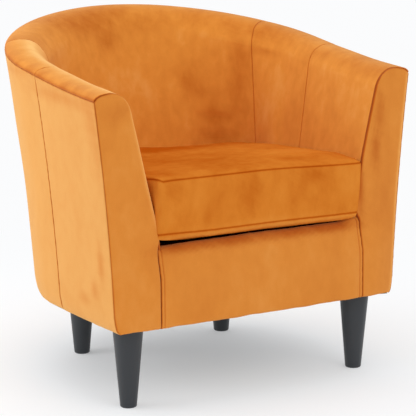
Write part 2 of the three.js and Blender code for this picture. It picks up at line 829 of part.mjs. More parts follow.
function legGeometry() {
  const top = BASE_HEIGHT - CLEARANCE;
  const bore = BOLT_RADIUS + CLEARANCE;
  const foot = [];
  for (let i = 0; i <= FOOT_STEPS; i++) {
    const angle = ((i / FOOT_STEPS) * Math.PI) / 2;
    foot.push([
      LEG_FOOT_RADIUS - LEG_FOOT_ROUND * (1 - Math.sin(angle)),
      LEG_FOOT_ROUND * (1 - Math.cos(angle)),
    ]);
  }
  const profile = [
    [0, 0],
    ...foot,
    [LEG_TOP_RADIUS, top],
    [bore, top],
    [bore, top - LEG_BORE_DEPTH],
    [0, top - LEG_BORE_DEPTH],
  ];
  return turned(profile, LEG_SIDES);
}

function boltGeometry() {
  const bottom = BASE_HEIGHT - LEG_BORE_DEPTH;
  const top = FRAME_BOTTOM + BLOCK_HEIGHT + 2 * T_NUT_FLANGE + CLEARANCE;
  const profile = [
    [0, bottom],
    [BOLT_RADIUS, bottom + BOLT_POINT],
    [BOLT_RADIUS, top],
    [0, top],
  ];
  return turned(profile, BOLT_SIDES);
}

function nutGeometry() {
  const seat = FRAME_BOTTOM + BLOCK_HEIGHT + CLEARANCE;
  const bore = BOLT_RADIUS + CLEARANCE;
  const profile = [
    [bore, seat - T_NUT_HEIGHT],
    [T_NUT_RADIUS, seat - T_NUT_HEIGHT],
    [T_NUT_RADIUS, seat],
    [T_NUT_FLANGE_RADIUS, seat],
    [T_NUT_FLANGE_RADIUS, seat + T_NUT_FLANGE],
    [bore, seat + T_NUT_FLANGE],
    [bore, seat - T_NUT_HEIGHT],
  ];
  return turned(profile, BOLT_SIDES);
}

function roundHole(x, y, radius) {
  const hole = new THREE.Path();
  hole.absarc(x, y, radius, 0, 2 * Math.PI, true);
  return hole;
}

// A block with a hole for the nut's barrel, between two plan corners
function blockGeometry(low, high, leg) {
  const shape = new THREE.Shape();
  shape.moveTo(low[0], low[1]);
  shape.lineTo(high[0], low[1]);
  shape.lineTo(high[0], high[1]);
  shape.lineTo(low[0], high[1]);
  shape.closePath();
  shape.holes.push(roundHole(leg[0], leg[1], T_NUT_RADIUS + CLEARANCE));
  const options = { depth: BLOCK_HEIGHT, bevelEnabled: false, curveSegments: BOLT_SIDES / 2 };
  return new THREE.ExtrudeGeometry(shape, options).translate(0, 0, FRAME_BOTTOM);
}

// The rear legs stand under their blocks, close to the curved rail
function legPlaces() {
  const frontX = BASE_PLAN.frontHalf - FRONT_LEG_INSET;
  const frontY = -DEPTH / 2 + FRONT_LEG_SETBACK;
  const rearX = backRailInnerX(REAR_RAIL_Y) - CLEARANCE - REAR_LEG_INSET;
  const rearY = REAR_RAIL_Y - CLEARANCE - BLOCK_DEPTH / 2;
  return SIDES.flatMap(([name, side]) => [
    ["front_" + name, side, side * frontX, frontY],
    ["rear_" + name, side, side * rearX, rearY],
  ]);
}

// Plan corners of the block over a leg: in front between the front rail and the side rail,
// behind against the rear rail
function blockCorners(name, side) {
  const sorted = (a, b) => [Math.min(a, b), Math.max(a, b)];
  if (name.startsWith("front")) {
    const inner = frontHalfWidth(FRAME_BOTTOM + BLOCK_HEIGHT) + FRAME_SETBACK + CLEARANCE;
    const outer = BASE_PLAN.frontHalf - RAIL_END - CLEARANCE;
    const [x0, x1] = sorted(side * inner, side * outer);
    const y0 = frontPlane(FRAME_BOTTOM + BLOCK_HEIGHT) + ARM_FRAME_START;
    return [[x0, y0], [x1, y0 + BLOCK_DEPTH]];
  }
  const outer = backRailInnerX(REAR_RAIL_Y) - CLEARANCE;
  const inner = outer - REAR_BLOCK_WIDTH;
  const [x0, x1] = sorted(side * inner, side * outer);
  const y1 = REAR_RAIL_Y - CLEARANCE;
  return [[x0, y1 - BLOCK_DEPTH], [x1, y1]];
}

function addLegs() {
  for (const [name, side, x, y] of legPlaces()) {
    const [low, high] = blockCorners(name, side);
    addPiece("leg_" + name, legGeometry(), "blackLeg").position.set(x, y, 0);
    addPiece("leg_bolt_" + name, boltGeometry(), "steel").position.set(x, y, 0);
    addPiece("leg_nut_" + name, nutGeometry(), "steel").position.set(x, y, 0);
    addPiece("leg_block_" + name, blockGeometry(low, high, [x, y]), "timber");
  }
}

// Black cloth under the base, pierced by the leg bolts
function addDustCover() {
  const shape = new THREE.Shape();
  placesBetween(2, -2).forEach((place, i) => {
    const p = wallPoint(place, RAIL_START, BASE_HEIGHT, FRAME_SETBACK);
    if (i === 0) {
      shape.moveTo(p.x, p.y);
    } else {
      shape.lineTo(p.x, p.y);
    }
  });
  shape.closePath();
  for (const [, , x, y] of legPlaces()) {
    shape.holes.push(roundHole(x, y, BOLT_RADIUS + CLEARANCE));
  }
  const options = { depth: DUST_COVER, bevelEnabled: false, curveSegments: BOLT_SIDES / 2 };
  const cloth = new THREE.ExtrudeGeometry(shape, options).translate(0, 0, BASE_HEIGHT);
  addPiece("dust_cover", cloth, "blackCloth");
}

// Loose cushion: a D in plan that follows the tub, boxed sides and crowned faces

function cushionSeamHeight(y, upper) {
  const lower = deckTop(y) + CUSHION_DECK_GAP + CUSHION_LOWER_CROWN;
  return upper ? lower + CUSHION_HEIGHT : lower;
}

// Outline of the cushion at heights that follow the seat's fall, set in from its widest form
function cushionOutline(heightAt, inset) {
  const depthAt = (place, z) =>
    innerDepth(place, topSeam(place).z - z) + CUSHION_WALL_GAP + inset;
  const frontZ = heightAt(-DEPTH / 2);
  const front = frontPlane(frontZ) + CUSHION_FRONT + inset;
  const straight = outerPlan(2, frontZ).x - depthAt(2, frontZ) - CUSHION_CORNER;
  const corner = [];
  for (let i = 0; i <= CORNER_STEPS; i++) {
    const angle = ((i / CORNER_STEPS) * Math.PI) / 2;
    corner.push([
      straight + CUSHION_CORNER * Math.sin(angle),
      front + CUSHION_CORNER * (1 - Math.cos(angle)),
    ]);
  }
  const wall = placesBetween(2, -2)
    .filter((place) => Math.abs(place) < FRAME_FRONT_SHARE)
    .map((place) => {
      const guess = heightAt(wallPoint(place, depthAt(place, frontZ), frontZ).y);
      const z = heightAt(wallPoint(place, depthAt(place, guess), guess).y);
      const p = wallPoint(place, depthAt(place, z), z);
      return [p.x, p.y];
    });
  const edge = [];
  for (let i = 1; i < FRONT_STEPS; i++) {
    const share = mix(-1, 1, i / FRONT_STEPS);
    edge.push([share * straight, front - CUSHION_BOW * (1 - share * share)]);
  }
  const mirrored = corner.map(([x, y]) => [-x, y]).reverse();
  const plan = [...corner, ...wall, ...mirrored, ...edge];
  return plan.map(([x, y]) => new THREE.Vector3(x, y, heightAt(y)));
}

// One ring of the cushion's skin, so far down its side: 0 at the upper seam, 1 at the lower
function boxingRing(share, inset) {
  const swell = 4 * share * (1 - share);
  const heightAt = (y) => mix(cushionSeamHeight(y, true), cushionSeamHeight(y, false), share);
  return cushionOutline(heightAt, inset + CUSHION_SEAM_DRAW * (1 - swell));
}

// One ring of a crowned face: the seam's outline shrunk towards the middle
function crownRing(upper, scale, inset) {
  const rim = boxingRing(upper ? 0 : 1, inset);
  const height = upper ? CUSHION_CROWN : -CUSHION_LOWER_CROWN;
  const power = upper ? UPPER_CROWN_EXPONENT_SHARE : LOWER_CROWN_EXPONENT_SHARE;
  const rise = 1 - scale ** power;
  const sink = (upper ? -inset : inset) * Math.min(1, rise / SEAM_RISE_SHARE);
  return rim.map((p) => {
    const x = p.x * scale;
    const y = mix(CUSHION_MIDDLE_Y, p.y, scale);
    return new THREE.Vector3(x, y, cushionSeamHeight(y, upper) + height * rise + sink);
  });
}

function meanHeight(ring) {
  return ring.reduce((sum, p) => sum + p.z, 0) / ring.length;
}

// Closed geometry from rings, with a point in the middle of the first and last ring, or
// with the last ring joined to the first. Quads are split from their higher ring, so that
// layers one inside the other bend alike.
function ringSolid(rings, closedRound) {
  const count = rings[0].length;
  const positions = rings.flat().flatMap((p) => [p.x, p.y, p.z]);
  const index = [];
  const spans = closedRound ? rings.length : rings.length - 1;
  for (let r = 0; r < spans; r++) {
    const next = (r + 1) % rings.length;
    const falls = meanHeight(rings[r]) > meanHeight(rings[next]);
    for (let i = 0; i < count; i++) {
      const j = (i + 1) % count;
      const [a, b] = [r * count + i, r * count + j];
      const [c, d] = [next * count + j, next * count + i];
      index.push(...splitQuad(a, b, c, d, falls));
    }
  }
  if (!closedRound) {
    const poles = [rings[0], rings[rings.length - 1]].map((ring) =>
      ring.reduce((sum, p) => sum.add(p), new THREE.Vector3()).divideScalar(count),
    );
    poles.forEach((pole, end) => {
      const tip = positions.length / 3;
      const base = end * (rings.length - 1) * count;
      positions.push(pole.x, pole.y, pole.z);
      for (let i = 0; i < count; i++) {
        const j = (i + 1) % count;
        const [a, b] = [base + i, base + j];
        index.push(...(end === 0 ? [a, tip, b] : [a, b, tip]));
      }
    });
  }
  return facingOut(positions, index);
}

function addCushion() {
  const skin = CUSHION_COVER;
  const core = CUSHION_COVER + 2 * CLEARANCE;
  const face = (upper, inset) => CROWN_SHARES.map((scale) => crownRing(upper, scale, inset));
  for (const [name, upper] of [["top", true], ["bottom", false]]) {
    const rings = [...face(upper, 0), ...face(upper, skin).reverse()];
    addPiece("cushion_" + name + "_panel", ringSolid(rings, false), "velvet");
  }
  const gap = CLEARANCE / CUSHION_HEIGHT;
  const sides = spread(gap, 1 - gap, BOXING_STEPS);
  const boxing = [
    ...sides.map((share) => boxingRing(share, 0)),
    ...sides.map((share) => boxingRing(share, skin)).reverse(),
  ];
  addPiece("cushion_boxing", ringSolid(boxing, true), "velvet");
  const rings = [
    ...face(true, core),
    ...sides.slice(1, -1).map((share) => boxingRing(share, core)),
    ...face(false, core).reverse(),
  ];
  addPiece("cushion_core", ringSolid(rings, false), "foam");
}

addWallCovers();
addArmEnds();
addTubFrame();
addWallFoam();
addSeatFront();
addRearRail();
addDeck();
addSprings();
addLegs();
addDustCover();
addCushion();

export default chair;
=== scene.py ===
"""Looks of an upholstered tub chair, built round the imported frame.

Velvet covers with their seams, a stuffed seat cushion, turned legs and the black cloth
under the base. Metres throughout, +Z up, the front of the chair faces -Y.
"""

import json
import logging
import math
from collections.abc import Callable
from dataclasses import dataclass, field
from enum import Enum

import bmesh
import bpy
import numpy as np
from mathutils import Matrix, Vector
from mathutils.kdtree import KDTree


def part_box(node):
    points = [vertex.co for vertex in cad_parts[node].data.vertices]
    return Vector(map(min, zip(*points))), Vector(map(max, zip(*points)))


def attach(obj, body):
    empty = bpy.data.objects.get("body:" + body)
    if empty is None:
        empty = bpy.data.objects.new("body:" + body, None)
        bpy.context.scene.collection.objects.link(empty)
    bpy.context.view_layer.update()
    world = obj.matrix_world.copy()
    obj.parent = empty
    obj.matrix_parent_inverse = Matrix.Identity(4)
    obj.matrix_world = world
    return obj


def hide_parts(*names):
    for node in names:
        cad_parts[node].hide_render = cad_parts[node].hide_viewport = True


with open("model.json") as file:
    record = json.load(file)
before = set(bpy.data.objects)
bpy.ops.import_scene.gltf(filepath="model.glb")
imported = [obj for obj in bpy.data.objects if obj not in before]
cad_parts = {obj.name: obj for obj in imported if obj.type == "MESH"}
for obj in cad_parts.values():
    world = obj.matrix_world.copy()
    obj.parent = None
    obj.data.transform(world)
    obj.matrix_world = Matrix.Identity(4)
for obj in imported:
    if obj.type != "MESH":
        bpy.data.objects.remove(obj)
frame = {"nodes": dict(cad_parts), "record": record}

LOG = logging.getLogger("tub_chair")
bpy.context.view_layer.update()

Array = np.ndarray
Socket = bpy.types.NodeSocket
Piece = bpy.types.Object
Span = tuple[float, float]
Triple = tuple[float, float, float]
Colour = tuple[int, int, int]
Surface = Callable[[Array, Array], Array]


# Form of the tub


@dataclass(frozen=True)
class Plan:
    """Outline of the tub in plan at one level: straight arms and a curve round the back."""

    half: float
    front_half: float
    straight: float
    depth: float
    roundness: float

    def point(self, front: float, place: Array) -> tuple[Array, Array]:
        """Position on the right-hand half of the outline.

        Args:
            front: Y of the outline's front end.
            place: 0 at the middle of the back, 1 where the arm starts, 2 at its front.

        Returns:
            X and Y of each place.
        """
        a = np.abs(place)
        corner = front + self.straight
        run = np.clip(a - 1, 0, 1)
        angle = np.clip(1 - a, 0, 1) * np.pi / 2
        power = 2 / self.roundness
        curve_x = self.half * np.cos(angle) ** power
        curve_y = corner + (self.depth - self.straight) * np.sin(angle) ** power
        arm_x = self.half + (self.front_half - self.half) * run**2
        arm_y = corner + (front - corner) * run
        return np.where(a >= 1, arm_x, curve_x), np.where(a >= 1, arm_y, curve_y)


@dataclass(frozen=True)
class TubForm:
    """Outer and inner faces of the padded wall, as functions of a place and a height."""

    depth: float = 0.656
    base_height: float = 0.160
    top_setback: float = 0.006
    seam_front: float = 0.603
    seam_back: float = 0.6795
    seam_power: float = 1.555
    flare_at_base: float = 0.52
    crest_depth: float = 0.033
    crest_rise: float = 0.014
    roll_depth: float = 0.076
    roll_drop: float = 0.029
    depth_at_seat: float = 0.1085
    taper: float = 0.248
    back_thickening: float = 0.2
    lumbar: float = 0.014
    lumbar_span: float = 0.5
    corner_relief: float = 0.062
    corner_place: float = 0.6
    corner_span: float = 0.32
    arm_start: float = 0.12
    place_step: float = 0.04
    tuck: float = 0.006
    tuck_height: float = 0.042
    hem_round: float = 0.010
    deck_height: float = 0.316
    deck_fall: float = 0.036 / 0.480
    side_seam: float = 1.214
    wing_seam: float = 0.708
    base: Plan = Plan(0.325, 0.316, 0.263, 0.600, 1.73)
    top: Plan = Plan(0.3515, 0.3515, 0.311, 0.650, 1.94)

    def top_seam(self, place: Array) -> tuple[Array, ...]:
        """X, Y and Z of the outer top seam on the right-hand half, and its run to the back.

        Args:
            place: Places along the wall.

        Returns:
            X, Y and Z of each place, and its share of the way to the back.
        """
        front = -self.depth / 2 + self.top_setback
        x, y = self.top.point(front, place)
        run = np.maximum(y - front, 0) / self.top.depth
        z = self.seam_front + (self.seam_back - self.seam_front) * run**self.seam_power
        return x, y, z, run

    def hem(self, z: Array) -> Array:
        """How far the outer face is drawn in near its rounded lower edge.

        Args:
            z: Heights.

        Returns:
            Depths inwards.
        """
        above = z - self.base_height
        drawn = self.tuck * np.maximum(0, 1 - above / self.tuck_height) ** 2
        turned = np.clip(1 - above / self.hem_round, 0, 1)
        return drawn + self.hem_round * (1 - np.sqrt(1 - turned**2))

    def front_plane(self, z: Array) -> Array:
        """Y of the arms' leaning front plane at a height."""
        rise = self.seam_front - self.base_height
        return -self.depth / 2 + self.top_setback * (z - self.base_height) / rise

    def outer(self, place: Array, z: Array) -> tuple[Array, Array]:
        """X and Y of the outer face at a place and a height.

        Args:
            place: Places along the wall.
            z: Heights.

        Returns:
            X and Y of each point, on the side that the place's sign gives.
        """
        seam_x, seam_y, seam_z, _ = self.top_seam(place)
        share = np.clip((z - self.base_height) / (seam_z - self.base_height), 0, 1)
        flare = share * (self.flare_at_base + (1 - self.flare_at_base) * share)
        base_x, base_y = self.base.point(-self.depth / 2, place)
        x = base_x + (seam_x - base_x) * flare
        y = base_y + (seam_y - base_y) * flare
        side = np.where(place < 0, -1.0, 1.0)
        y = np.where(np.abs(place) > 1, np.maximum(y, self.front_plane(z)), y)
        return side * x, y

    def inward(self, place: Array, z: Array) -> tuple[Array, Array]:
        """Direction in plan from the outer face into the tub.

        Args:
            place: Places along the wall.
            z: Heights.

        Returns:
            X and Y of unit directions.
        """
        held = np.clip(place, -1.0, 1.0)
        x0, y0 = self.outer(held - self.place_step, z)
        x1, y1 = self.outer(held + self.place_step, z)
        length = np.hypot(x1 - x0, y1 - y0)
        nx, ny = (y1 - y0) / length, -(x1 - x0) / length
        straight = ease(np.abs(place) - 1, 0, self.arm_start)
        nx = nx * (1 - straight) - np.sign(place) * straight
        ny = ny * (1 - straight)
        length = np.hypot(nx, ny)
        return nx / length, ny / length

    def wall(self, place: Array, depth: Array, z: Array) -> Array:
        """A point of the wall, so far in from the outer face.

        Args:
            place: Places along the wall.
            depth: Depths inwards from the outer face.
            z: Heights.

        Returns:
            Points with the arrays' shape and a last axis of three.
        """
        x, y = self.outer(place, z)
        nx, ny = self.inward(place, z)
        return np.stack([x + nx * depth, y + ny * depth, np.broadcast_to(z, x.shape)], -1)

    def thickening(self, place: Array) -> Array:
        """How much thicker than the arms the wall is at a place."""
        return 1 + self.back_thickening * self.top_seam(place)[3] ** 2

    def inner_depth(self, place: Array, drop: Array) -> Array:
        """Depth of the inner face below the roll, at a drop under the outer seam.

        Args:
            place: Places along the wall.
            drop: Drops under the outer seam.

        Returns:
            Depths inwards from the outer face.
        """
        scale = self.thickening(place)
        share = np.minimum((drop / scale - self.roll_drop) / self.taper, 1)
        swell = self.lumbar * swelling(place, 0, self.lumbar_span)
        relief = self.corner_relief * swelling(place, self.corner_place, self.corner_span)
        plain = self.roll_depth + (self.depth_at_seat - self.roll_depth) * share
        return plain * scale + (swell - relief) * np.maximum(share, 0)

    def roll(self, place: Array, t: Array) -> tuple[Array, Array]:
        """Depth and rise over the roll, from the outer seam (t 0) over the crest (1) to 2.

        Args:
            place: Places along the wall.
            t: Shares over the roll, from 0 to 2.

        Returns:
            Depths inwards and rises over the outer seam.
        """
        scale = self.thickening(place)
        cd, cr = self.crest_depth, self.crest_rise
        rise = [(0, 0), (cd * 0.12, cr * 0.75), (cd * 0.5, cr), (cd, cr)]
        end = self.roll_depth
        fall = [(cd, cr), ((cd + end) / 2, cr), (end * 0.97, 0), (end, -self.roll_drop)]
        up, down = bezier(rise, np.clip(t, 0, 1)), bezier(fall, np.clip(t - 1, 0, 1))
        both = np.where((t <= 1)[..., None], up, down)
        return both[..., 0] * scale, both[..., 1] * scale

    def roll_way(self, place: Array, share: Array) -> Array:
        """Direction over the roll.

        Args:
            place: Places along the wall.
            share: Shares of the way over the roll, from 0 to 1.

        Returns:
            Unit directions: depths inwards and rises.
        """
        step = 1e-3
        ahead = np.array(self.roll(place, np.clip(2 * share + step, 0, 2)))
        back = np.array(self.roll(place, np.clip(2 * share - step, 0, 2)))
        return (ahead - back) / np.linalg.norm(ahead - back, axis=0)

    def deck_top(self, y: Array) -> Array:
        """Height of the seat deck, which falls towards the back."""
        return self.deck_height - self.deck_fall * (y + self.depth / 2)

    def wall_foot(self, place: Array) -> Array:
        """Height at which the inner face meets the deck.

        Args:
            place: Places along the wall.

        Returns:
            Heights.
        """
        level = np.full(np.shape(place), self.deck_height)
        deep = self.inner_depth(place, self.top_seam(place)[2] - level)
        return self.deck_top(self.wall(place, deep, level)[..., 1])


def swelling(place: Array, middle: float, span: float) -> Array:
    """A smooth bump along the wall: one at its middle and nothing past its span."""
    share = np.minimum(np.abs(np.abs(place) - middle) / span, 1)
    return np.cos(share * np.pi / 2) ** 2


def resample(line: Array, shares: Array) -> Array:
    """Points at shares of a line's length.

    Args:
        line: Points of the line, one a row.
        shares: Shares of its length, from 0 to 1.

    Returns:
        A point for each share.
    """
    step = np.linalg.norm(np.diff(line, axis=0), axis=1)
    run = np.concatenate([[0], np.cumsum(step)])
    return np.stack([np.interp(shares * run[-1], run, axis) for axis in line.T], -1)


def ease(value: Array, start: float, end: float) -> Array:
    """A smooth step from 0 at its start to 1 at its end, on either side of it."""
    share = np.clip((value - start) / (end - start), 0, 1)
    return share * share * (3 - 2 * share)


def bezier(handles: list[Span], t: Array) -> Array:
    """Points of a cubic curve.

    Args:
        handles: Its four handles.
        t: Shares along it.

    Returns:
        Points with the array's shape and a last axis of two.
    """
    a, b, c, d = (np.array(h) for h in handles)
    s = t[..., None]
    return a * (1 - s) ** 3 + 3 * b * s * (1 - s) ** 2 + 3 * c * s * s * (1 - s) + d * s**3


STATION_GROWTH = 1.4


def stations(length: float, fine: float = 0.0005, coarse: float = 0.007) -> Array:
    """Shares from 0 to 1 that lie close together at both ends, where the seams are.

    Args:
        length: Length in metres that the shares run over.
        fine: First step at each end.
        coarse: Longest step in the middle.

    Returns:
        The shares.
    """
    steps = []
    step = fine
    while sum(steps) < length / 2:
        steps.append(min(step, coarse))
        step *= STATION_GROWTH
    half = np.concatenate([[0], np.cumsum(steps)])
    half = half / half[-1] / 2
    return np.concatenate([half, 1 - half[-2::-1]])


def ripple(along: Array, seed: int, lengths: tuple[float, ...]) -> Array:
    """An uneven wave, about one high, made of sines of the given wavelengths.

    Args:
        along: Distances at which to take the wave.
        seed: Seed of its unevenness.
        lengths: Wavelengths.

    Returns:
        The wave's heights.
    """
    random = np.random.default_rng(seed)
    total = np.zeros(np.shape(along))
    for length in lengths:
        total += random.uniform(0.6, 1.0) * np.sin(
            2 * np.pi * along / (length * random.uniform(0.85, 1.15)) + random.uniform(0, 6.28)
        )
    return total / len(lengths)


@dataclass(frozen=True)
class SeatSwell:
    """How the padding swells the lower front, most where the border meets the facings."""

    form: TubForm = TubForm()
    upper: float = 0.0045
    lower: float = 0.0120
    seam_half: float = 0.2225
    shift: float = 0.004
    lift: float = 0.004
    behind: float = 0.05
    wave: float = 0.0011
    upper_span: Span = (0.46, 0.34)
    lower_span: Span = (0.318, 0.250)
    shift_span: Span = (0.335, 0.295)
    right_higher: float = 0.024
    right_span: Span = (0.0, 0.1)
    hem_height: float = 0.05
    highest: float = 0.5

    def reach(self, z: Array) -> Array:
        """How far the front stands forward at a height."""
        return self.upper * ease(z, *self.upper_span) + self.lower * ease(z, *self.lower_span)

    def move(self, points: Array) -> Array:
        """Points of the covers, moved with the padding under them.

        Args:
            points: Points, with a last axis of three.

        Returns:
            The same points, moved.
        """
        f = self.form
        x, y, z = points[..., 0], points[..., 1], points[..., 2]
        level = np.clip(z, f.base_height, self.highest)
        two = np.full(z.shape, 2.0)
        edge = f.outer(two, level)[0]
        width = f.inner_depth(two, f.top_seam(two)[2] - level)
        across = np.sin(np.clip((edge - np.abs(x)) / width, 0, 1) * np.pi / 2)
        share = across * ease(y - f.front_plane(level), self.behind, 0.0)
        right = self.right_higher * ease(x, *self.right_span)
        low = share * ease(z - right, *self.shift_span)
        inner = edge - width
        side = low * (self.shift + (self.seam_half - inner) * np.clip(x / inner, -1, 1))
        hem = ease(z, f.base_height + self.hem_height, f.base_height)
        sway = self.wave * ripple(x + 1.3 * y, 61, (0.045, 0.08, 0.13)) * hem**2
        return points + np.stack([side, -self.reach(z) * share, self.lift * share * hem + sway], -1)


SWELL = SeatSwell()


# Finishes


class Shader:
    """A material under construction, with short calls for its nodes."""

    def __init__(self, name: str) -> None:
        """Starts an empty material with a principled surface.

        Args:
            name: The material's name.
        """
        self.material = bpy.data.materials.new(name)
        self.material.use_nodes = True
        self.tree = self.material.node_tree
        self.surface = self.tree.nodes["Principled BSDF"]

    def node(self, kind: str, **settings: object) -> bpy.types.Node:
        """Adds a node and sets its properties.

        Args:
            kind: The node's type.
            **settings: Its properties.

        Returns:
            The node.
        """
        made = self.tree.nodes.new(kind)
        for key, value in settings.items():
            setattr(made, key, value)
        return made

    def link(self, out: Socket, to: Socket) -> None:
        """Joins two sockets."""
        self.tree.links.new(out, to)

    def give(self, inputs: dict[str, object]) -> None:
        """Links sockets to the surface's inputs and sets plain values on them.

        Args:
            inputs: Sockets and values by the inputs' names.
        """
        for name, value in inputs.items():
            if isinstance(value, Socket):
                self.link(value, self.surface.inputs[name])
            else:
                self.surface.inputs[name].default_value = value

    def noise(
        self,
        coords: Socket,
        scale: float,
        detail: float = 3.0,
        stretch: Triple = (1.0, 1.0, 1.0),
        warp: float = 0.0,
    ) -> Socket:
        """A noise pattern.

        Args:
            coords: Coordinates to read.
            scale: Cycles to a metre.
            detail: Octaves.
            stretch: Scale along each axis.
            warp: Distortion.

        Returns:
            The pattern's value.
        """
        mapping = self.node("ShaderNodeMapping")
        mapping.inputs["Scale"].default_value = stretch
        self.link(coords, mapping.inputs["Vector"])
        made = self.node("ShaderNodeTexNoise")
        made.inputs["Scale"].default_value = scale
        made.inputs["Detail"].default_value = detail
        made.inputs["Distortion"].default_value = warp
        self.link(mapping.outputs["Vector"], made.inputs["Vector"])
        return made.outputs["Fac"]

    def ramp(self, value: Socket, stops: list[tuple[float, tuple[float, ...]]]) -> Socket:
        """Colours for a value between stops.

        Args:
            value: The value.
            stops: Positions, and a colour or a single grey at each.

        Returns:
            The colour.
        """
        made = self.node("ShaderNodeValToRGB")
        elements = made.color_ramp.elements
        while len(elements) < len(stops):
            elements.new(0.5)
        for element, (at, colour) in zip(elements, stops):
            element.position = at
            element.color = (*colour, 1) if len(colour) == 3 else (*[colour[0]] * 3, 1)
        self.link(value, made.inputs["Fac"])
        return made.outputs["Color"]

    def between(self, value: Socket, low: object, high: object) -> Socket:
        """A pattern's middle range spread between two colours or greys.

        Args:
            value: The pattern.
            low: Colour or grey up to 0.3.
            high: Colour or grey from 0.7.

        Returns:
            The colour.
        """
        low, high = (c if isinstance(c, tuple) else (c,) for c in (low, high))
        return self.ramp(value, [(0.3, low), (0.7, high)])

    def mix(
        self,
        factor: Socket | float,
        a: Socket | tuple[float, ...],
        b: Socket | tuple[float, ...],
        blend: str = "MIX",
    ) -> Socket:
        """A mix of two colours.

        Args:
            factor: Share of the second colour.
            a: First colour or socket.
            b: Second colour or socket.
            blend: Way of mixing.

        Returns:
            The mixed colour.
        """
        made = self.node("ShaderNodeMix", data_type="RGBA", blend_type=blend)
        for socket, value in ((made.inputs[0], factor), (made.inputs[6], a), (made.inputs[7], b)):
            if isinstance(value, Socket):
                self.link(value, socket)
            elif isinstance(value, tuple):
                socket.default_value = (*value, 1)
            else:
                socket.default_value = value
        return made.outputs[2]

    def sum(self, parts: list[tuple[Socket, float]], offset: float = 0.0) -> Socket:
        """A weighted sum of values and an offset.

        Args:
            parts: Values and their weights.
            offset: Amount added once.

        Returns:
            The sum.
        """
        total = None
        for value, weight in parts:
            made = self.node("ShaderNodeMath", operation="MULTIPLY_ADD")
            self.link(value, made.inputs[0])
            made.inputs[1].default_value = weight
            made.inputs[2].default_value = offset
            if total is not None:
                self.link(total, made.inputs[2])
            total = made.outputs[0]
        return total

    def bump(
        self,
        height: Socket,
        distance: float,
        strength: float = 1.0,
        under: Socket | None = None,
    ) -> Socket:
        """A relief of a given depth over another one.

        Args:
            height: The pattern.
            distance: Its depth in metres.
            strength: Its strength.
            under: The relief under it.

        Returns:
            The bent normal.
        """
        made = self.node("ShaderNodeBump")
        made.inputs["Distance"].default_value = distance
        made.inputs["Strength"].default_value = strength
        self.link(height, made.inputs["Height"])
        if under is not None:
            self.link(under, made.inputs["Normal"])
        return made.outputs["Normal"]

    def object_coords(self) -> Socket:
        """The piece's own coordinates, in metres."""
        return self.node("ShaderNodeTexCoord").outputs["Object"]


def linear(colour: Colour) -> Triple:
    """Screen colour from 0 to 255 as the linear values that shaders take."""
    shares = [c / 255 for c in colour]
    return tuple(s / 12.92 if s <= 0.04045 else ((s + 0.055) / 1.055) ** 2.4 for s in shares)


def darker(colour: Triple, share: float) -> Triple:
    """A colour at a share of its strength."""
    return tuple(c * share for c in colour)


SEAM_SHADES = [
    (0.0, (0.50, 0.25, 0.08)),
    (0.23, (0.74, 0.48, 0.24)),
    (0.40, (0.88, 0.72, 0.52)),
    (0.58, (0.97, 0.94, 0.90)),
    (1.0, (1.0, 1.0, 1.0)),
]


@dataclass(frozen=True)
class Velvet:
    """Short-pile velvet: nap brushed to and fro in soft patches over a fine pile, plus painted
    light and shade.
    """

    name: str
    flat: Colour
    dark: Colour
    light: Colour
    mottle: float = 0.3
    sheen: float = 0.3
    gloss: float = 0.08
    patch_scale: float = 9.0
    stretch: Triple = (1.0, 1.0, 0.6)
    pile_scale: float = 900.0
    tint: Triple = (1.0, 0.90, 0.50)
    seam_span: Span = (-0.0012, 0.004)

    def make(self) -> bpy.types.Material:
        """Builds the velvet's material.

        Returns:
            The material.
        """
        s = Shader(self.name)
        coords = s.object_coords()
        broad = s.noise(coords, self.patch_scale, 5.0, self.stretch, 0.6)
        fine = s.noise(coords, self.patch_scale * 6, 3.0, self.stretch, 0.3)
        mottled = s.sum([(broad, 0.65), (fine, 0.35)])
        # The nap layer holds the brushed patches and also painted light and shade: up-facing faces,
        # the roll's painted shade and highlight, the facings' painted highlight and painted shade
        # patches.
        marks = s.node("ShaderNodeVertexColor", layer_name="nap").outputs["Color"]
        tone = s.sum([(mottled, 2.4 * self.mottle), (marks, 1.0)], -1.2 * self.mottle)
        stops = [(0.0, self.dark), (0.5, self.flat), (1.0, self.light)]
        colour = s.ramp(tone, [(at, linear(c)) for at, c in stops])
        pile = s.noise(coords, self.pile_scale, 2.0)
        speckle = s.between(pile, 0.94, 1.0)
        colour = s.mix(1.0, colour, speckle, "MULTIPLY")
        colour = s.mix(1.0, colour, self.seam_shade(s), "MULTIPLY")
        crush = s.bump(broad, 0.003, 0.3)
        s.give({
            "Base Color": colour,
            "Roughness": s.between(mottled, 0.92, 0.78),
            "Sheen Weight": self.sheen,
            "Sheen Roughness": 0.5,
            "Sheen Tint": (*self.tint, 1),
            "Specular IOR Level": self.gloss,
            "Normal": s.bump(pile, 0.0005, 0.4, crush),
        })
        return s.material

    def seam_shade(self, s: Shader) -> Socket:
        """Shade of the sewn lines, from the distance kept in the UVs.

        Args:
            s: The shader to build in.

        Returns:
            The shade, to multiply the colour by.
        """
        uv = s.node("ShaderNodeUVMap", uv_map="seams").outputs["UV"]
        split = s.node("ShaderNodeSeparateXYZ")
        s.link(uv, split.inputs[0])
        near = s.node("ShaderNodeMapRange")
        near.inputs["From Min"].default_value = self.seam_span[0]
        near.inputs["From Max"].default_value = self.seam_span[1]
        s.link(split.outputs[0], near.inputs["Value"])
        return s.ramp(near.outputs[0], SEAM_SHADES)


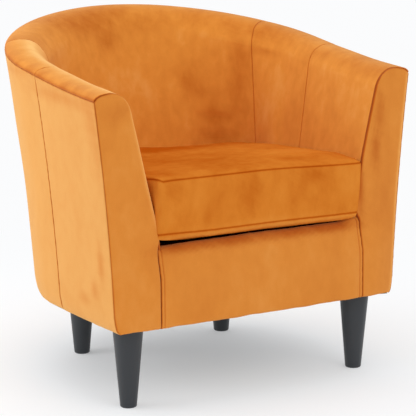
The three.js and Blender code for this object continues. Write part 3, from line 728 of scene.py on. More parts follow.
@dataclass(frozen=True)
class SatinLacquer:
    """Dark lacquer on turned wood, a little uneven, with a trace of grain."""

    name: str = "dark_lacquer"
    colour: Colour = (44, 47, 51)

    def make(self) -> bpy.types.Material:
        """Builds the lacquer's material.

        Returns:
            The material.
        """
        s = Shader(self.name)
        coords = s.object_coords()
        grain = s.noise(coords, 60.0, 4.0, (1, 1, 0.06), 0.5)
        base = linear(self.colour)
        wear = s.noise(coords, 14.0, 3.0)
        s.give({
            "Base Color": s.mix(grain, darker(base, 0.85), base),
            "Roughness": s.between(wear, 0.34, 0.46),
            "Normal": s.bump(grain, 0.0003, 0.3),
        })
        return s.material


@dataclass(frozen=True)
class Woven:
    """Plain woven or non-woven cloth, with a fine criss-cross and a few slubs."""

    name: str
    colour: Colour
    thread: float = 0.0011

    def make(self) -> bpy.types.Material:
        """Builds the cloth's material.

        Returns:
            The material.
        """
        s = Shader(self.name)
        coords = s.object_coords()
        waves = []
        for direction in ("X", "Y"):
            wave = s.node("ShaderNodeTexWave", bands_direction=direction)
            wave.inputs["Scale"].default_value = 0.31 / self.thread
            wave.inputs["Distortion"].default_value = 0.6
            s.link(coords, wave.inputs["Vector"])
            waves.append(wave.outputs["Fac"])
        weave = s.mix(0.5, waves[0], waves[1])
        slub = s.noise(coords, 90.0, 3.0, (1, 0.2, 1))
        base = linear(self.colour)
        pattern = s.mix(0.5, weave, slub)
        s.give({
            "Base Color": s.ramp(pattern, [(0.2, darker(base, 0.7)), (0.8, base)]),
            "Roughness": 0.95,
            "Specular IOR Level": 0.1,
            "Normal": s.bump(weave, 0.0003, 0.6),
        })
        return s.material


@dataclass(frozen=True)
class Timber:
    """Plain sawn softwood or board, with grain and saw marks."""

    name: str
    colour: Colour
    grain_scale: float = 35.0

    def make(self) -> bpy.types.Material:
        """Builds the wood's material.

        Returns:
            The material.
        """
        s = Shader(self.name)
        coords = s.object_coords()
        grain = s.noise(coords, self.grain_scale, 6.0, (1, 0.12, 1), 1.5)
        pores = s.noise(coords, 400.0, 2.0, (1, 0.1, 1))
        base = linear(self.colour)
        s.give({
            "Base Color": s.ramp(grain, [(0.35, darker(base, 0.62)), (0.65, base)]),
            "Roughness": s.between(pores, 0.85, 0.65),
            "Normal": s.bump(pores, 0.0004, 0.4),
        })
        return s.material


@dataclass(frozen=True)
class OpenFoam:
    """Cut upholstery foam with its open cells."""

    name: str = "cut_foam"
    colour: Colour = (236, 226, 196)

    def make(self) -> bpy.types.Material:
        """Builds the foam's material.

        Returns:
            The material.
        """
        s = Shader(self.name)
        coords = s.object_coords()
        cells = s.node("ShaderNodeTexVoronoi")
        cells.inputs["Scale"].default_value = 700.0
        s.link(coords, cells.inputs["Vector"])
        base = linear(self.colour)
        s.give({
            "Base Color": s.between(s.noise(coords, 12.0, 3.0), darker(base, 0.85), base),
            "Roughness": 1.0,
            "Normal": s.bump(cells.outputs["Distance"], 0.0006, 0.8),
        })
        return s.material


@dataclass(frozen=True)
class DrawnSteel:
    """Bright drawn wire and zinc-plated hardware."""

    name: str = "drawn_steel"
    colour: Colour = (172, 176, 180)

    def make(self) -> bpy.types.Material:
        """Builds the steel's material.

        Returns:
            The material.
        """
        s = Shader(self.name)
        coords = s.object_coords()
        tone = s.noise(coords, 120.0, 3.0)
        base = linear(self.colour)
        s.give({
            "Base Color": s.between(tone, darker(base, 0.75), base),
            "Roughness": s.between(tone, 0.45, 0.28),
            "Metallic": 1.0,
            "Normal": s.bump(tone, 0.0001, 0.3),
        })
        return s.material


class Slot(Enum):
    """The record's material slots."""

    VELVET = "velvet"
    VELVET_DECK = "velvet_deck"
    FOAM = "foam"
    TIMBER = "timber"
    HARDBOARD = "hardboard"
    BLACK_LEG = "black_leg"
    STEEL = "steel"
    BLACK_CLOTH = "black_cloth"
    DECK_CLOTH = "deck_cloth"


class Nap(Enum):
    """How the velvet's nap lies on a piece, which sets its tone; the outer side's copy is lighter
    as painted light.
    """

    # Lighter and paler than the other copies: painted light for the lamp on the left, in place of
    # part of its sheen.
    SIDE = Velvet("velvet_side_painted_light", (221, 155, 81), (202, 110, 26), (232, 170, 96), 0.20, 0.25)
    FRONT = Velvet("velvet_front", (218, 134, 52), (186, 92, 22), (242, 172, 92), 0.22, 0.2)
    INSIDE = Velvet("velvet_inside", (228, 146, 57), (190, 98, 20), (250, 188, 108), 0.38, 0.2)
    SEAT = Velvet("velvet_seat", (212, 124, 42), (186, 88, 15), (228, 146, 60), 0.45, 0.0, 0.0)


class Wardrobe:
    """Makes each finish once and puts it on pieces."""

    def __init__(self) -> None:
        """Builds every finish."""
        self.velvets = {nap: nap.value.make() for nap in Nap}
        # Near-black velvet on the deck: painted shade for the gap under the cushion.
        deck = Velvet("velvet_deck", (64, 28, 8), (48, 20, 6), (78, 38, 12), 0.3, 0.0, 0.0)
        self.made = {
            Slot.VELVET: self.velvets[Nap.INSIDE],
            Slot.VELVET_DECK: deck.make(),
            Slot.FOAM: OpenFoam().make(),
            Slot.TIMBER: Timber("sawn_softwood", (205, 170, 112)).make(),
            Slot.HARDBOARD: Timber("hardboard", (140, 98, 56), 160.0).make(),
            Slot.BLACK_LEG: SatinLacquer().make(),
            Slot.STEEL: DrawnSteel().make(),
            Slot.BLACK_CLOTH: Woven("black_cloth", (30, 30, 33)).make(),
            Slot.DECK_CLOTH: Woven("deck_cloth", (186, 172, 144)).make(),
        }

    def dress(self, piece: Piece, slot: Slot, nap: Nap | None = None) -> None:
        """Gives a new piece its material.

        Args:
            piece: The piece.
            slot: The record's slot that its finish comes from.
            nap: Which copy of the velvet, by how its nap lies; the outer side's copy carries
                painted light.
        """
        piece.data.materials.clear()
        piece.data.materials.append(self.velvets[nap] if nap else self.made[slot])

    def fit(
        self, piece: Piece, slot: Slot, nodes: tuple[str, ...], nap: Nap | None = None
    ) -> None:
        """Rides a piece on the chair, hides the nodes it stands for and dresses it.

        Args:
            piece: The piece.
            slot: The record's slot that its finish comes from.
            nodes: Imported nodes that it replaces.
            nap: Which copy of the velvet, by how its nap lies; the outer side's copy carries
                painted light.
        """
        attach(piece, "chair")
        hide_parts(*nodes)
        self.dress(piece, slot, nap)
        report(piece)

    def dress_frame(self) -> None:
        """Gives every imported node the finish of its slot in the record."""
        for row in frame["record"]["subparts"]:
            node = frame["nodes"][row["node"]]
            for slot in node.material_slots:
                slot.material = self.made[Slot(row["material_slot"])]


# Mesh work


def report(piece: Piece) -> None:
    """Logs a finished piece."""
    LOG.info("%s: %d faces", piece.name, len(piece.data.polygons))


def deselect_all() -> None:
    """Leaves edit mode and deselects everything."""
    if bpy.context.object and bpy.context.object.mode != "OBJECT":
        bpy.ops.object.mode_set(mode="OBJECT")
    bpy.ops.object.select_all(action="DESELECT")


def make_active(piece: Piece) -> None:
    """Selects one object alone.

    Args:
        piece: The piece.
    """
    deselect_all()
    piece.select_set(True)
    bpy.context.view_layer.objects.active = piece


def apply_modifiers(piece: Piece) -> None:
    """Applies a piece's modifiers from the first to the last.

    Args:
        piece: The piece.
    """
    make_active(piece)
    for modifier in list(piece.modifiers):
        bpy.ops.object.modifier_apply(modifier=modifier.name)


def settle(piece: Piece) -> None:
    """Puts a piece's place into its mesh, so that its object sits at the origin."""
    make_active(piece)
    bpy.ops.object.transform_apply(location=True, rotation=True, scale=True)


def grid_normals(points: Array) -> Array:
    """Unit normals of a grid of points, by the right-hand rule of columns over rows.

    Args:
        points: A grid of points.

    Returns:
        Normals of the same shape.
    """
    across = np.gradient(points, axis=1)
    along = np.gradient(points, axis=0)
    n = np.cross(across, along)
    return n / np.maximum(np.linalg.norm(n, axis=-1, keepdims=True), 1e-12)


@dataclass
class Margins:
    """Distances in metres of each point of a sheet from its four edges."""

    start: Array
    end: Array
    foot: Array
    head: Array

    @classmethod
    def of(cls, points: Array) -> "Margins":
        """Measures a grid of points along its rows and columns.

        Args:
            points: A grid of points.

        Returns:
            Its margins.
        """

        def run(axis: int) -> Array:
            """Distance along one axis of the grid.

            Args:
                axis: 0 from row to row, 1 from column to column.

            Returns:
                Distances from the first edge.
            """
            steps = np.linalg.norm(np.diff(points, axis=axis), axis=-1)
            pad = [(0, 0), (0, 0)]
            pad[axis] = (1, 0)
            return np.cumsum(np.pad(steps, pad), axis=axis)

        across, along = run(1), run(0)
        return cls(across, across[:, -1:] - across, along, along[-1:] - along)


Relief = Callable[[Margins, Array], Array]


@dataclass(frozen=True)
class Edge:
    """How a sheet ends: rounded over, turned in, and gathered by its thread."""

    radius: float = 0.0012
    tuck: float = 0.003
    pucker: float = 0.0005
    reach: float = 0.010
    swell: float = 0.0
    sewn: bool = True
    line: float = 0.0
    swell_rise: float = 0.004
    swell_run: float = 0.02


@dataclass(frozen=True)
class Mark:
    """A patch where the nap is brushed the other way; some patches in the tables are painted shade
    instead.
    """

    centre: Triple
    size: Triple
    tone: float
    ragged: float = 0.35

    def at(self, points: Array) -> Array:
        """Strength of the mark at each point.

        Args:
            points: Points, with a last axis of three.

        Returns:
            Tones.
        """
        away = (points - np.array(self.centre)) / np.array(self.size)
        slant = points[..., 0] + 1.7 * points[..., 2]
        rough = 1 + self.ragged * ripple(slant, 77, (0.013, 0.023, 0.05))
        return self.tone * np.exp(-np.sum(away**2, axis=-1) * rough)


def marks_of(*rows: tuple[float, ...]) -> tuple[Mark, ...]:
    """Marks from a table.

    Args:
        *rows: Centre and size of each in millimetres, then its tone.

    Returns:
        The marks.
    """
    scaled = [(tuple(v / 1000 for v in row[:6]), row[6]) for row in rows]
    return tuple(Mark(lengths[:3], lengths[3:], tone) for lengths, tone in scaled)


@dataclass
class Sheet:
    """A sewn panel: a grid of points shaped by a surface, with relief and a thickness."""

    name: str
    columns: Array
    rows: Array
    surface: Surface
    facing: Triple
    edges: tuple[Edge | None, Edge | None, Edge | None, Edge | None] = (None,) * 4
    relief: Relief | None = None
    marks: tuple[Mark, ...] = ()
    thickness: float = 0.0016
    sharp_from: float = 60.0
    seed: int = 1
    flat: bool = False
    stitched: float = 0.0
    stitch_inset: float = 0.0006
    # Painted light and shade for the nap layer: tones by the margins, and the tone of up-facing
    # faces.
    tone: Relief | None = None
    up_painted_light_and_nap: float = 0.5

    def shape(self) -> list[Array]:
        """Lays out the panel.

        Returns:
            Points of its outside with the turned-in margins, their normals, their distances
            from the nearest seam and along it, and the painted light and shade for their nap layer.
        """
        u, v = np.meshgrid(self.columns, self.rows)
        base = SWELL.move(self.surface(u, v))
        n = grid_normals(base)
        if self.flat:
            n = np.broadcast_to(np.array(self.facing, dtype=float), base.shape)
        n = n if np.sum(n * np.array(self.facing)) > 0 else -n
        m = Margins.of(base)
        pairs = ((m.start, m.foot), (m.end, m.foot), (m.foot, m.start), (m.head, m.start))
        lift = np.zeros(u.shape)
        seam = np.full(u.shape, 1.0)
        along = np.zeros(u.shape)
        for i, (edge, (away, beside)) in enumerate(zip(self.edges, pairs)):
            if edge is None:
                continue
            left = np.clip(edge.radius - away, 0, None)
            lift -= edge.radius - np.sqrt(np.maximum(edge.radius**2 - left**2, 0))
            waves = ripple(beside, self.seed + i, (0.012, 0.021, 0.037))
            lift += edge.pucker * waves * np.exp(-away / edge.reach)
            risen = 1 - np.exp(-away / edge.swell_rise)
            lift += edge.swell * risen * np.exp(-away / edge.swell_run)
            if edge.sewn:
                along = np.where(away < seam, beside, along)
                seam = np.minimum(seam, away - edge.line)
            if edge.sewn and self.stitched and i < 2:
                seam = np.minimum(seam, np.abs(away - self.stitched) + self.stitch_inset)
        if self.relief is not None:
            lift += self.relief(m, base)
        tone = self.tone(m, base) if self.tone else np.zeros(u.shape)
        layers = [base + n * lift[..., None], n, seam, along, tone]
        for i, edge in enumerate(self.edges):
            if edge is not None:
                layers = self.turn_in(i, edge, layers)
        return layers

    def turn_in(self, side: int, edge: Edge, layers: list[Array]) -> list[Array]:
        """Adds the turned-in margin beyond one edge.

        Args:
            side: 0 start, 1 end, 2 foot, 3 head.
            edge: How that edge ends.
            layers: Points, normals, distances and tones, as shape returns them.

        Returns:
            The same arrays, one row or column longer.
        """
        axis = 1 if side < 2 else 0
        index = 0 if side % 2 == 0 else -1
        margins = [np.take(layer, [index], axis=axis) for layer in layers]
        margins[0] = margins[0] - margins[1] * edge.tuck
        margins[2] = margins[2] - edge.tuck
        pairs = zip(margins, layers) if index == 0 else zip(layers, margins)
        return [np.concatenate(pair, axis=axis) for pair in pairs]

    def build(self) -> Piece:
        """Adds a grid primitive, lays it over the points and gives it its thickness.

        Returns:
            The panel, closed and smooth, with its place in its mesh.
        """
        points, _, seam, along, tone = self.shape()
        rows, columns = points.shape[:2]
        deselect_all()
        bpy.ops.mesh.primitive_grid_add(x_subdivisions=columns - 1, y_subdivisions=rows - 1)
        piece = bpy.context.object
        piece.name = piece.data.name = self.name
        piece.data.vertices.foreach_set("co", points.reshape(-1))
        piece.data.update()
        if self.turned_in(piece):
            piece.data.flip_normals()
        lay_uv(piece, seam.reshape(-1), along.reshape(-1))
        lay_nap_and_painted_light(piece, self.marks, self.up_painted_light_and_nap, tone.reshape(-1) / 2)
        modifier = piece.modifiers.new("cloth", "SOLIDIFY")
        modifier.thickness = self.thickness
        modifier.offset = -1
        apply_modifiers(piece)
        make_active(piece)
        bpy.ops.object.shade_smooth_by_angle(angle=math.radians(self.sharp_from))
        return piece

    def turned_in(self, piece: Piece) -> bool:
        """True if the panel's faces point away from where its outside should look.

        Args:
            piece: The piece.

        Returns:
            True if its faces have to be flipped.
        """
        count = len(piece.data.polygons)
        normals = np.empty(count * 3)
        areas = np.empty(count)
        piece.data.polygons.foreach_get("normal", normals)
        piece.data.polygons.foreach_get("area", areas)
        total = (normals.reshape(-1, 3) * areas[:, None]).sum(axis=0)
        return float(np.dot(total, self.facing)) < 0


def lay_uv(piece: Piece, seam: Array, along: Array) -> None:
    """Writes the distance from the nearest seam and the distance along it as UVs.

    Args:
        piece: The piece.
        seam: Distance of each point from the nearest seam.
        along: Its place along that seam.
    """
    mesh = piece.data
    corners = np.empty(len(mesh.loops), dtype=np.int32)
    mesh.loops.foreach_get("vertex_index", corners)
    layer = mesh.uv_layers.active or mesh.uv_layers.new(name="seams")
    layer.name = "seams"
    both = np.stack([seam[corners], along[corners]], -1)
    layer.data.foreach_set("uv", both.reshape(-1))


FACES_UP = (0.3, 0.8)


def lay_nap_and_painted_light(
    piece: Piece, marks: tuple[Mark, ...], up_painted_light_and_nap: float, more: Array | float = 0.0
) -> None:
    """Writes the brushed patches of the nap and painted light and shade as a value at each point,
    0.5 where untouched.

    Args:
        piece: The piece.
        marks: Its brushed patches.
        up_painted_light_and_nap: Value where the piece faces up: painted light and shade on the
            walls' covers, the nap's own tone on the cushion.
        more: Painted light and shade added at its points.
    """
    mesh = piece.data
    points = read_points(piece)
    normals = np.empty(len(points) * 3)
    mesh.vertex_normals.foreach_get("vector", normals)
    # Up-facing faces are lightened or darkened here: painted light and shade on the walls' covers,
    # the nap's tone on the cushion.
    tone = 0.5 + (up_painted_light_and_nap - 0.5) * ease(normals[2::3], *FACES_UP) + more
    for mark in marks:
        tone += mark.at(points) / 2
    tone = np.clip(tone, 0, 1)
    # The layer named nap carries painted light and shade as well as the brushed nap.
    layer = mesh.color_attributes.new(name="nap", type="FLOAT_COLOR", domain="POINT")
    colours = np.stack([tone, tone, tone, np.ones(len(tone))], -1)
    layer.data.foreach_set("color", colours.reshape(-1))


def read_points(piece: Piece) -> Array:
    """The piece's points as an array of rows of three.

    Args:
        piece: The piece.

    Returns:
        The points.
    """
    points = np.empty(len(piece.data.vertices) * 3)
    piece.data.vertices.foreach_get("co", points)
    return points.reshape(-1, 3)


def write_points(piece: Piece, points: Array) -> None:
    """Moves the piece's points."""
    piece.data.vertices.foreach_set("co", points.reshape(-1))
    piece.data.update()


def quarter(inside: Array, radius: float) -> Array:
    """Height of a quarter-round at a distance inside its edge."""
    left = 1 - np.minimum(inside / radius, 1)
    return radius * np.sqrt(np.maximum(1 - left**2, 0))


def groove(distance: Array, depth: float, width: float) -> Array:
    """Relief of a line of stitches: drawn in at the line and level past its width."""
    return -depth * np.exp(-((distance / width) ** 2))


# The wall's covers

PLAIN_SEAM = Edge()
PLUMB_SEAM = Edge(radius=0.0024, pucker=0.0008, line=0.0010)
TURNED_UNDER = Edge(radius=0.006, tuck=0.012, pucker=0.0008, reach=0.014, sewn=False)
HEM = Edge(radius=0.001, tuck=0.012, pucker=0.0006, reach=0.014, sewn=False)
UNDER_ROLL = Edge(radius=0.0015, pucker=0.0010, reach=0.022, line=0.0006)
WRAPPED = Edge(radius=0.005, tuck=0.002, pucker=0.0003, sewn=False)
WRAPPED_SEAM = Edge(radius=0.0035, tuck=0.003, pucker=0.0004, line=0.0012)
ROUNDED = Edge(radius=0.0025, tuck=0.003, sewn=False)
ROLL_START = Edge(radius=0.0040, tuck=0.007, pucker=0.0005, swell=0.0022)
TUCKED_AWAY = None

INSIDE_MARKS = marks_of(
    (-75, 205, 665, 60, 50, 26, -0.56),
    (-40, 224, 625, 30, 50, 16, -0.41),
    (129, 167, 541, 22, 50, 20, -0.41),
    (150, 160, 515, 30, 50, 12, -0.26),
    (176, 135, 460, 40, 50, 22, -0.45),
    (172, 128, 418, 50, 50, 10, -0.49),
    (222, 105, 600, 16, 50, 60, -0.49),
    (215, 110, 520, 14, 50, 50, -0.30),
    (253, 56, 607, 16, 30, 8, -0.45),
    (245, 70, 650, 60, 60, 20, -0.34),
    (60, 215, 660, 50, 50, 18, -0.30),
    (-150, 150, 480, 60, 80, 50, 0.30),
    (262, -140, 500, 50, 120, 80, -0.17),
    (-330, 120, 650, 30, 110, 30, -0.30),
    (-330, -240, 615, 20, 60, 20, -0.30),
)
OUTSIDE_NAP_AND_SHADE_MARKS = marks_of(
    (-347.6, -300, 560, 30, 22, 45, -0.40),
    (-344, -312, 490, 30, 12, 80, -0.25),
    (-323.4, -262, 235, 30, 12, 22, -0.55),
    (-323.6, -222, 212, 30, 20, 12, -0.45),
    (-324.5, -292, 290, 30, 10, 34, -0.60),
    # These two are painted shade: a darker band under the roll's overhang, just below the top seam.
    (-350.3, -180, 592, 30, 140, 12, -0.45),
    (-350.3, 20, 618, 40, 90, 10, -0.40),
)
FRONT_NAP_AND_SHADE_MARKS = marks_of(
    (281, -324, 530, 11, 30, 36, -0.55),
    (272, -324, 460, 10, 30, 32, -0.70),
    (-300, -322, 580, 30, 30, 22, -0.30),
    (-262, -322, 590, 20, 30, 14, -0.35),
    # These four are painted shade on the top of the front panel, under the cushion.
    (-170, -320, 312, 60, 30, 10, -0.90),
    (-60, -320, 312, 60, 30, 10, -0.90),
    (60, -320, 312, 60, 30, 10, -0.90),
    (165, -320, 312, 60, 30, 10, -1.10),
    (295, -324, 400, 40, 30, 160, -0.25),
    # Painted shadow on the right facing beside the cushion's edge.
    (234, -326, 390, 8, 30, 60, -0.90),
)


@dataclass
class WallCovers:
    """The velvet of the wall: outside, inside, the roll on top and the arms' facings."""

    form: TubForm = field(default_factory=TubForm)
    seam_gap: float = 0.00003
    outer_edge: float = 0.002
    inner_edge: float = 0.006
    setback: float = 0.0052
    level: float = 0.45
    roll_share: float = 0.3
    foot_margin: float = 0.024
    shoulder: float = 0.78
    crest_span: Span = (0.35, 0.65)
    setback_span: Span = (1.85, 2.0)
    turned_from: float = 1.5
    wrap_run: float = 0.025
    # Painted highlight along the facings' inner edges.
    painted_highlight_width: float = 0.0055
    painted_highlight_span: Span = (0.33, 0.38)
    # Painted light on the left arm's up-facing faces and painted shade on those of the others.
    left_up_painted_light: float = 0.75
    up_painted_light_and_nap: float = 0.30
    # Painted shade on the left roll's outer half and a painted highlight on its crest.
    roll_painted_shade: float = -0.8
    painted_shade_run: float = 0.035
    crest_painted_highlight: float = 0.6
    crest_at: float = 0.057
    crest_width: float = 0.011
    panel_swell: float = 0.0008
    facing_swell: float = 0.0024
    stuffed_from: float = 0.03
    slow_wave: float = 0.0012
    crease_width: float = 0.0035
    ridge_share: float = 0.6
    ridge_above: float = 0.007
    ridge_width: float = 0.004
    face_height: float = 0.48
    drape_height: float = 0.42
    facing_width: float = 0.12

    def places(self, start: float, end: float) -> Array:
        """Places between two seams, evenly spaced along the wall and closer at its ends.

        Args:
            start: First place.
            end: Last place.

        Returns:
            The places.
        """
        table = np.linspace(start, end, 400)
        x, y = self.form.outer(table, np.full(table.shape, self.level))
        run = np.concatenate([[0], np.cumsum(np.hypot(np.diff(x), np.diff(y)))])
        gap = self.seam_gap / run[-1]
        shares = gap + stations(run[-1]) * (1 - 2 * gap)
        return np.interp(shares * run[-1], run, table)

    def rounded(self, place: Array, z: Array, radius: Array) -> Array:
        """How far the cover is turned in where it goes round the arm's front edge.

        Args:
            place: Places along the wall.
            z: Heights.
            radius: Radius of the bend.

        Returns:
            Depths inwards.
        """
        y = self.form.outer(place, z)[1]
        behind = np.clip((y - self.form.front_plane(z)) / radius, 0, 1)
        turned = radius * (1 - np.sqrt(np.maximum(1 - (1 - behind) ** 2, 0)))
        return np.where(np.abs(place) > self.turned_from, turned, 0.0)

    def outside(self, place: Array, v: Array) -> Array:
        """Outer face from the lower edge (v 0) to the top seam (v 1).

        Args:
            place: Places along the wall.
            v: Shares from the start to the end, from 0 to 1.

        Returns:
            Points of the face.
        """
        f = self.form
        z = f.base_height + (f.top_seam(place)[2] - self.seam_gap - f.base_height) * v
        return f.wall(place, f.hem(z) + self.rounded(place, z, self.outer_edge), z)

    def inside(self, place: Array, v: Array) -> Array:
        """From the outer seam (v 0) over the roll (v below 0.3) down to the deck (v 1).

        Args:
            place: Places along the wall.
            v: Shares from the start to the end, from 0 to 1.

        Returns:
            Points of the face.
        """
        f = self.form
        seam = f.top_seam(place)[2] + self.seam_gap
        lift = np.clip(v / self.roll_share, 0, 1)
        roll_depth, roll_rise = f.roll(place, 2 * lift)
        down = np.clip((v - self.roll_share) / (1 - self.roll_share), 0, 1)
        start = seam - f.roll_drop * f.thickening(place)
        face_z = start + (f.wall_foot(place) - self.foot_margin - start) * down
        on_roll = v <= self.roll_share
        z = np.where(on_roll, seam + roll_rise, face_z)
        depth = np.where(on_roll, roll_depth, f.inner_depth(place, seam - face_z))
        past_crest = ease(lift, *self.crest_span)
        turn = self.rounded(place, z, self.outer_edge * (1 - past_crest) + 1e-6)
        way = f.roll_way(place, lift)
        way_depth = np.where(on_roll, way[1], -1.0)
        way_z = np.where(on_roll, way[0], 0.0)
        points = f.wall(place, depth + turn * way_depth, z - turn * way_z)
        near_front = ease(np.abs(place), *self.setback_span)
        points[..., 1] += self.setback * past_crest * near_front
        return points

    def facing_outline(self) -> tuple[Array, Array, Array]:
        """Lines of depth and height round an arm's front.

        Returns:
            The outer edge upwards, the inner edge upwards to the roll's shoulder, and the
            roll from its outer end to that shoulder.
        """
        f = self.form
        t = np.linspace(0, 1, 200)
        two = np.full(t.shape, 2.0)
        seam = f.top_seam(two)[2]
        low, high = self.outer_edge + self.seam_gap, self.inner_edge + self.seam_gap
        deck = f.deck_height - f.base_height
        height = seam - f.roll_drop - f.base_height
        high = high * ease(t * height, deck + self.wrap_run, deck)
        z = f.base_height + (seam - f.base_height) * t
        outer = np.stack([f.hem(z) + low, z], -1)
        z = f.base_height + height * t
        drop = np.minimum(seam - z, seam - f.wall_foot(two))
        inner = np.stack([f.inner_depth(two, drop) - high, z], -1)
        depth, rise = f.roll(two, 2 * t)
        way = f.roll_way(two, t)
        offset = low * (1 - ease(t, *self.crest_span))
        roll = np.stack([depth + way[1] * offset, seam + rise - way[0] * offset], -1)
        cut = int(self.shoulder * len(t))
        return outer, np.concatenate([inner[:-1], roll[: cut - 1 : -1]]), roll[: cut + 1]

    def facing(self, side: float) -> Surface:
        """The arm's front as a patch between its outer edge, inner edge, foot and roll.

        Args:
            side: -1 for the left arm and 1 for the right one.

        Returns:
            The patch, as a surface.
        """
        f = self.form
        outer, inner, roll = self.facing_outline()
        foot = np.stack([outer[0], inner[0]])

        def patch(u: Array, v: Array) -> Array:
            """Blends the four edges.

            Args:
                u: Shares across, from 0 to 1.
                v: Shares from the start to the end, from 0 to 1.

            Returns:
                Points of the patch.
            """
            x, y = u[..., None], v[..., None]
            left, right = resample(outer, v), resample(inner, v)
            low, high = resample(foot, u), resample(roll, u)
            corners = (1 - y) * low + y * ((1 - x) * outer[-1] + x * inner[-1])
            flat = (1 - x) * left + x * right + (1 - y) * low + y * high - corners
            z = flat[..., 1]
            edge, _ = f.outer(np.full(z.shape, 2.0), z)
            return np.stack([side * (edge - flat[..., 0]), f.front_plane(z), z], -1)

        return patch

    def edge_painted_highlight(self, side: float) -> Relief:
        """Painted highlight along the facing's right-hand edge, where it is bent round the foam.

        Args:
            side: -1 for the left arm and 1 for the right one.

        Returns:
            A function of margins and points.
        """

        def tone(m: Margins, points: Array) -> Array:
            """Tone at each point.

            Args:
                m: Distances from the sheet's edges.
                points: Points, with a last axis of three.

            Returns:
                Tones.
            """
            if side > 0:
                return np.exp(-((m.start / self.painted_highlight_width) ** 2))
            above = ease(points[..., 2], *self.painted_highlight_span)
            return above * np.exp(-((m.end / self.painted_highlight_width) ** 2))

        return tone

    def roll_painted_shade_and_highlight(self, m: Margins, points: Array) -> Array:
        """Painted shade on the outer half of the roll and a painted highlight on its crest.

        Args:
            m: Distances from the sheet's edges.
            points: Not used.

        Returns:
            Tones.
        """
        # Painted shade along the outer seam, then a painted highlight on the crest.
        wave = 1 + 0.3 * ripple(m.start, 71, (0.05, 0.11))
        dark = self.roll_painted_shade * np.exp(-((m.foot / self.painted_shade_run) ** 2)) * wave
        from_crest = (m.foot - self.crest_at) / self.crest_width
        return dark + self.crest_painted_highlight * np.exp(-(from_crest**2))

    def uneven(self, seed: int, bulge: float, creases: bool = False) -> Relief:
        """Relief of a stuffed panel.

        Args:
            seed: Seed of its unevenness.
            bulge: How far its middle swells.
            creases: True for the panel with the creases above the seat.

        Returns:
            A function of margins and points.
        """

        def relief(m: Margins, points: Array) -> Array:
            """Swelling, slow waves and the creases.

            Args:
                m: Distances from the sheet's edges.
                points: Points, with a last axis of three.

            Returns:
                Heights over the panel.
            """
            near = np.minimum(np.minimum(m.start, m.end), np.minimum(m.foot, m.head))
            full = 1 - np.exp(-near / self.stuffed_from)
            slow = ripple(m.start, seed + 7, (0.13, 0.21)) * ripple(m.foot, seed + 8, (0.19, 0.31))
            total = full * (bulge + self.slow_wave * slow)
            if creases:
                total += self.creases(points)
            return total

        return relief

    def creases(self, points: Array) -> Array:
        """Shallow level folds low on the back, right of its middle.

        Args:
            points: Points, with a last axis of three.

        Returns:
            Heights over the panel.
        """
        x, z = points[..., 0], points[..., 2]
        sway = 0.002 * ripple(x, 31, (0.07, 0.12))
        total = np.zeros(x.shape)
        for level, middle, width, depth in (
            (0.474, 0.178, 0.050, 0.0022),
            (0.462, 0.170, 0.044, 0.0018),
            (0.428, 0.165, 0.055, 0.0020),
        ):
            within = np.exp(-(((x - middle) / width) ** 4))
            total += groove(z - level - sway, depth, self.crease_width) * within
            above = z - level - sway - self.ridge_above
            total -= self.ridge_share * groove(above, depth, self.ridge_width) * within
        return total

    def build(self, wardrobe: Wardrobe) -> None:
        """Builds and dresses every cover of the wall.

        Args:
            wardrobe: The finishes.
        """
        f = self.form
        rising = stations(self.face_height)
        over_roll = np.linspace(0, self.roll_share, 30)
        drape = np.unique(np.concatenate([stations(self.drape_height), over_roll]))
        outer_edges = (PLAIN_SEAM, PLUMB_SEAM, HEM, UNDER_ROLL)
        inner_edges = (PLAIN_SEAM, PLAIN_SEAM, ROLL_START, TUCKED_AWAY)
        for side, name in ((-1.0, "left"), (1.0, "right")):
            arm = self.places(side * 2.0, side * f.side_seam)
            wing = self.places(side * f.side_seam, side * f.wing_seam)
            sheet = self.panel("outside_arm_cover_" + name, arm, rising, self.outside, -1)
            sheet.edges, sheet.marks = outer_edges, OUTSIDE_NAP_AND_SHADE_MARKS
            wardrobe.fit(sheet.build(), Slot.VELVET, ("outside_arm_cover_" + name,), Nap.SIDE)
            for node, places, hidden in (
                ("inside_arm_cover_" + name, arm, "arm_foam_" + name),
                ("inside_wing_cover_" + name, wing, None),
            ):
                sheet = self.panel(node, places, drape, self.inside, 1)
                sheet.edges, sheet.marks = inner_edges, INSIDE_MARKS
                # The left arm and wing take painted light on their up-facing faces, with the roll's
                # painted shade and highlight; the right ones take painted shade there.
                sheet.up_painted_light_and_nap = self.left_up_painted_light if side < 0 else self.up_painted_light_and_nap
                sheet.tone = self.roll_painted_shade_and_highlight if side < 0 else None
                nodes = (node, hidden) if hidden else (node,)
                wardrobe.fit(sheet.build(), Slot.VELVET, nodes, Nap.INSIDE)
            node, columns = "arm_facing_" + name, stations(self.facing_width)
            sheet = Sheet(node + "_velvet", columns, rising, self.facing(side), (0, -1, 0))
            sides = (PLAIN_SEAM, WRAPPED) if side < 0 else (ROUNDED, WRAPPED_SEAM)
            sheet.edges = (*sides, TURNED_UNDER, PLAIN_SEAM)
            sheet.flat = True
            # Painted highlight along the facing's inner edge.
            sheet.tone = self.edge_painted_highlight(side)
            sheet.relief = self.uneven(40 + int(side), self.facing_swell)
            sheet.marks = FRONT_NAP_AND_SHADE_MARKS
            wardrobe.fit(sheet.build(), Slot.VELVET, (node,), Nap.FRONT)
        back = self.places(-f.side_seam, f.side_seam)
        sheet = self.panel("outside_back_cover", back, rising, self.outside, -1)
        sheet.edges, sheet.marks = (PLUMB_SEAM, *outer_edges[1:]), OUTSIDE_NAP_AND_SHADE_MARKS
        wardrobe.fit(sheet.build(), Slot.VELVET, ("outside_back_cover",), Nap.SIDE)
        middle = self.places(-f.wing_seam, f.wing_seam)
        sheet = self.panel("inside_back_cover", middle, drape, self.inside, 1)
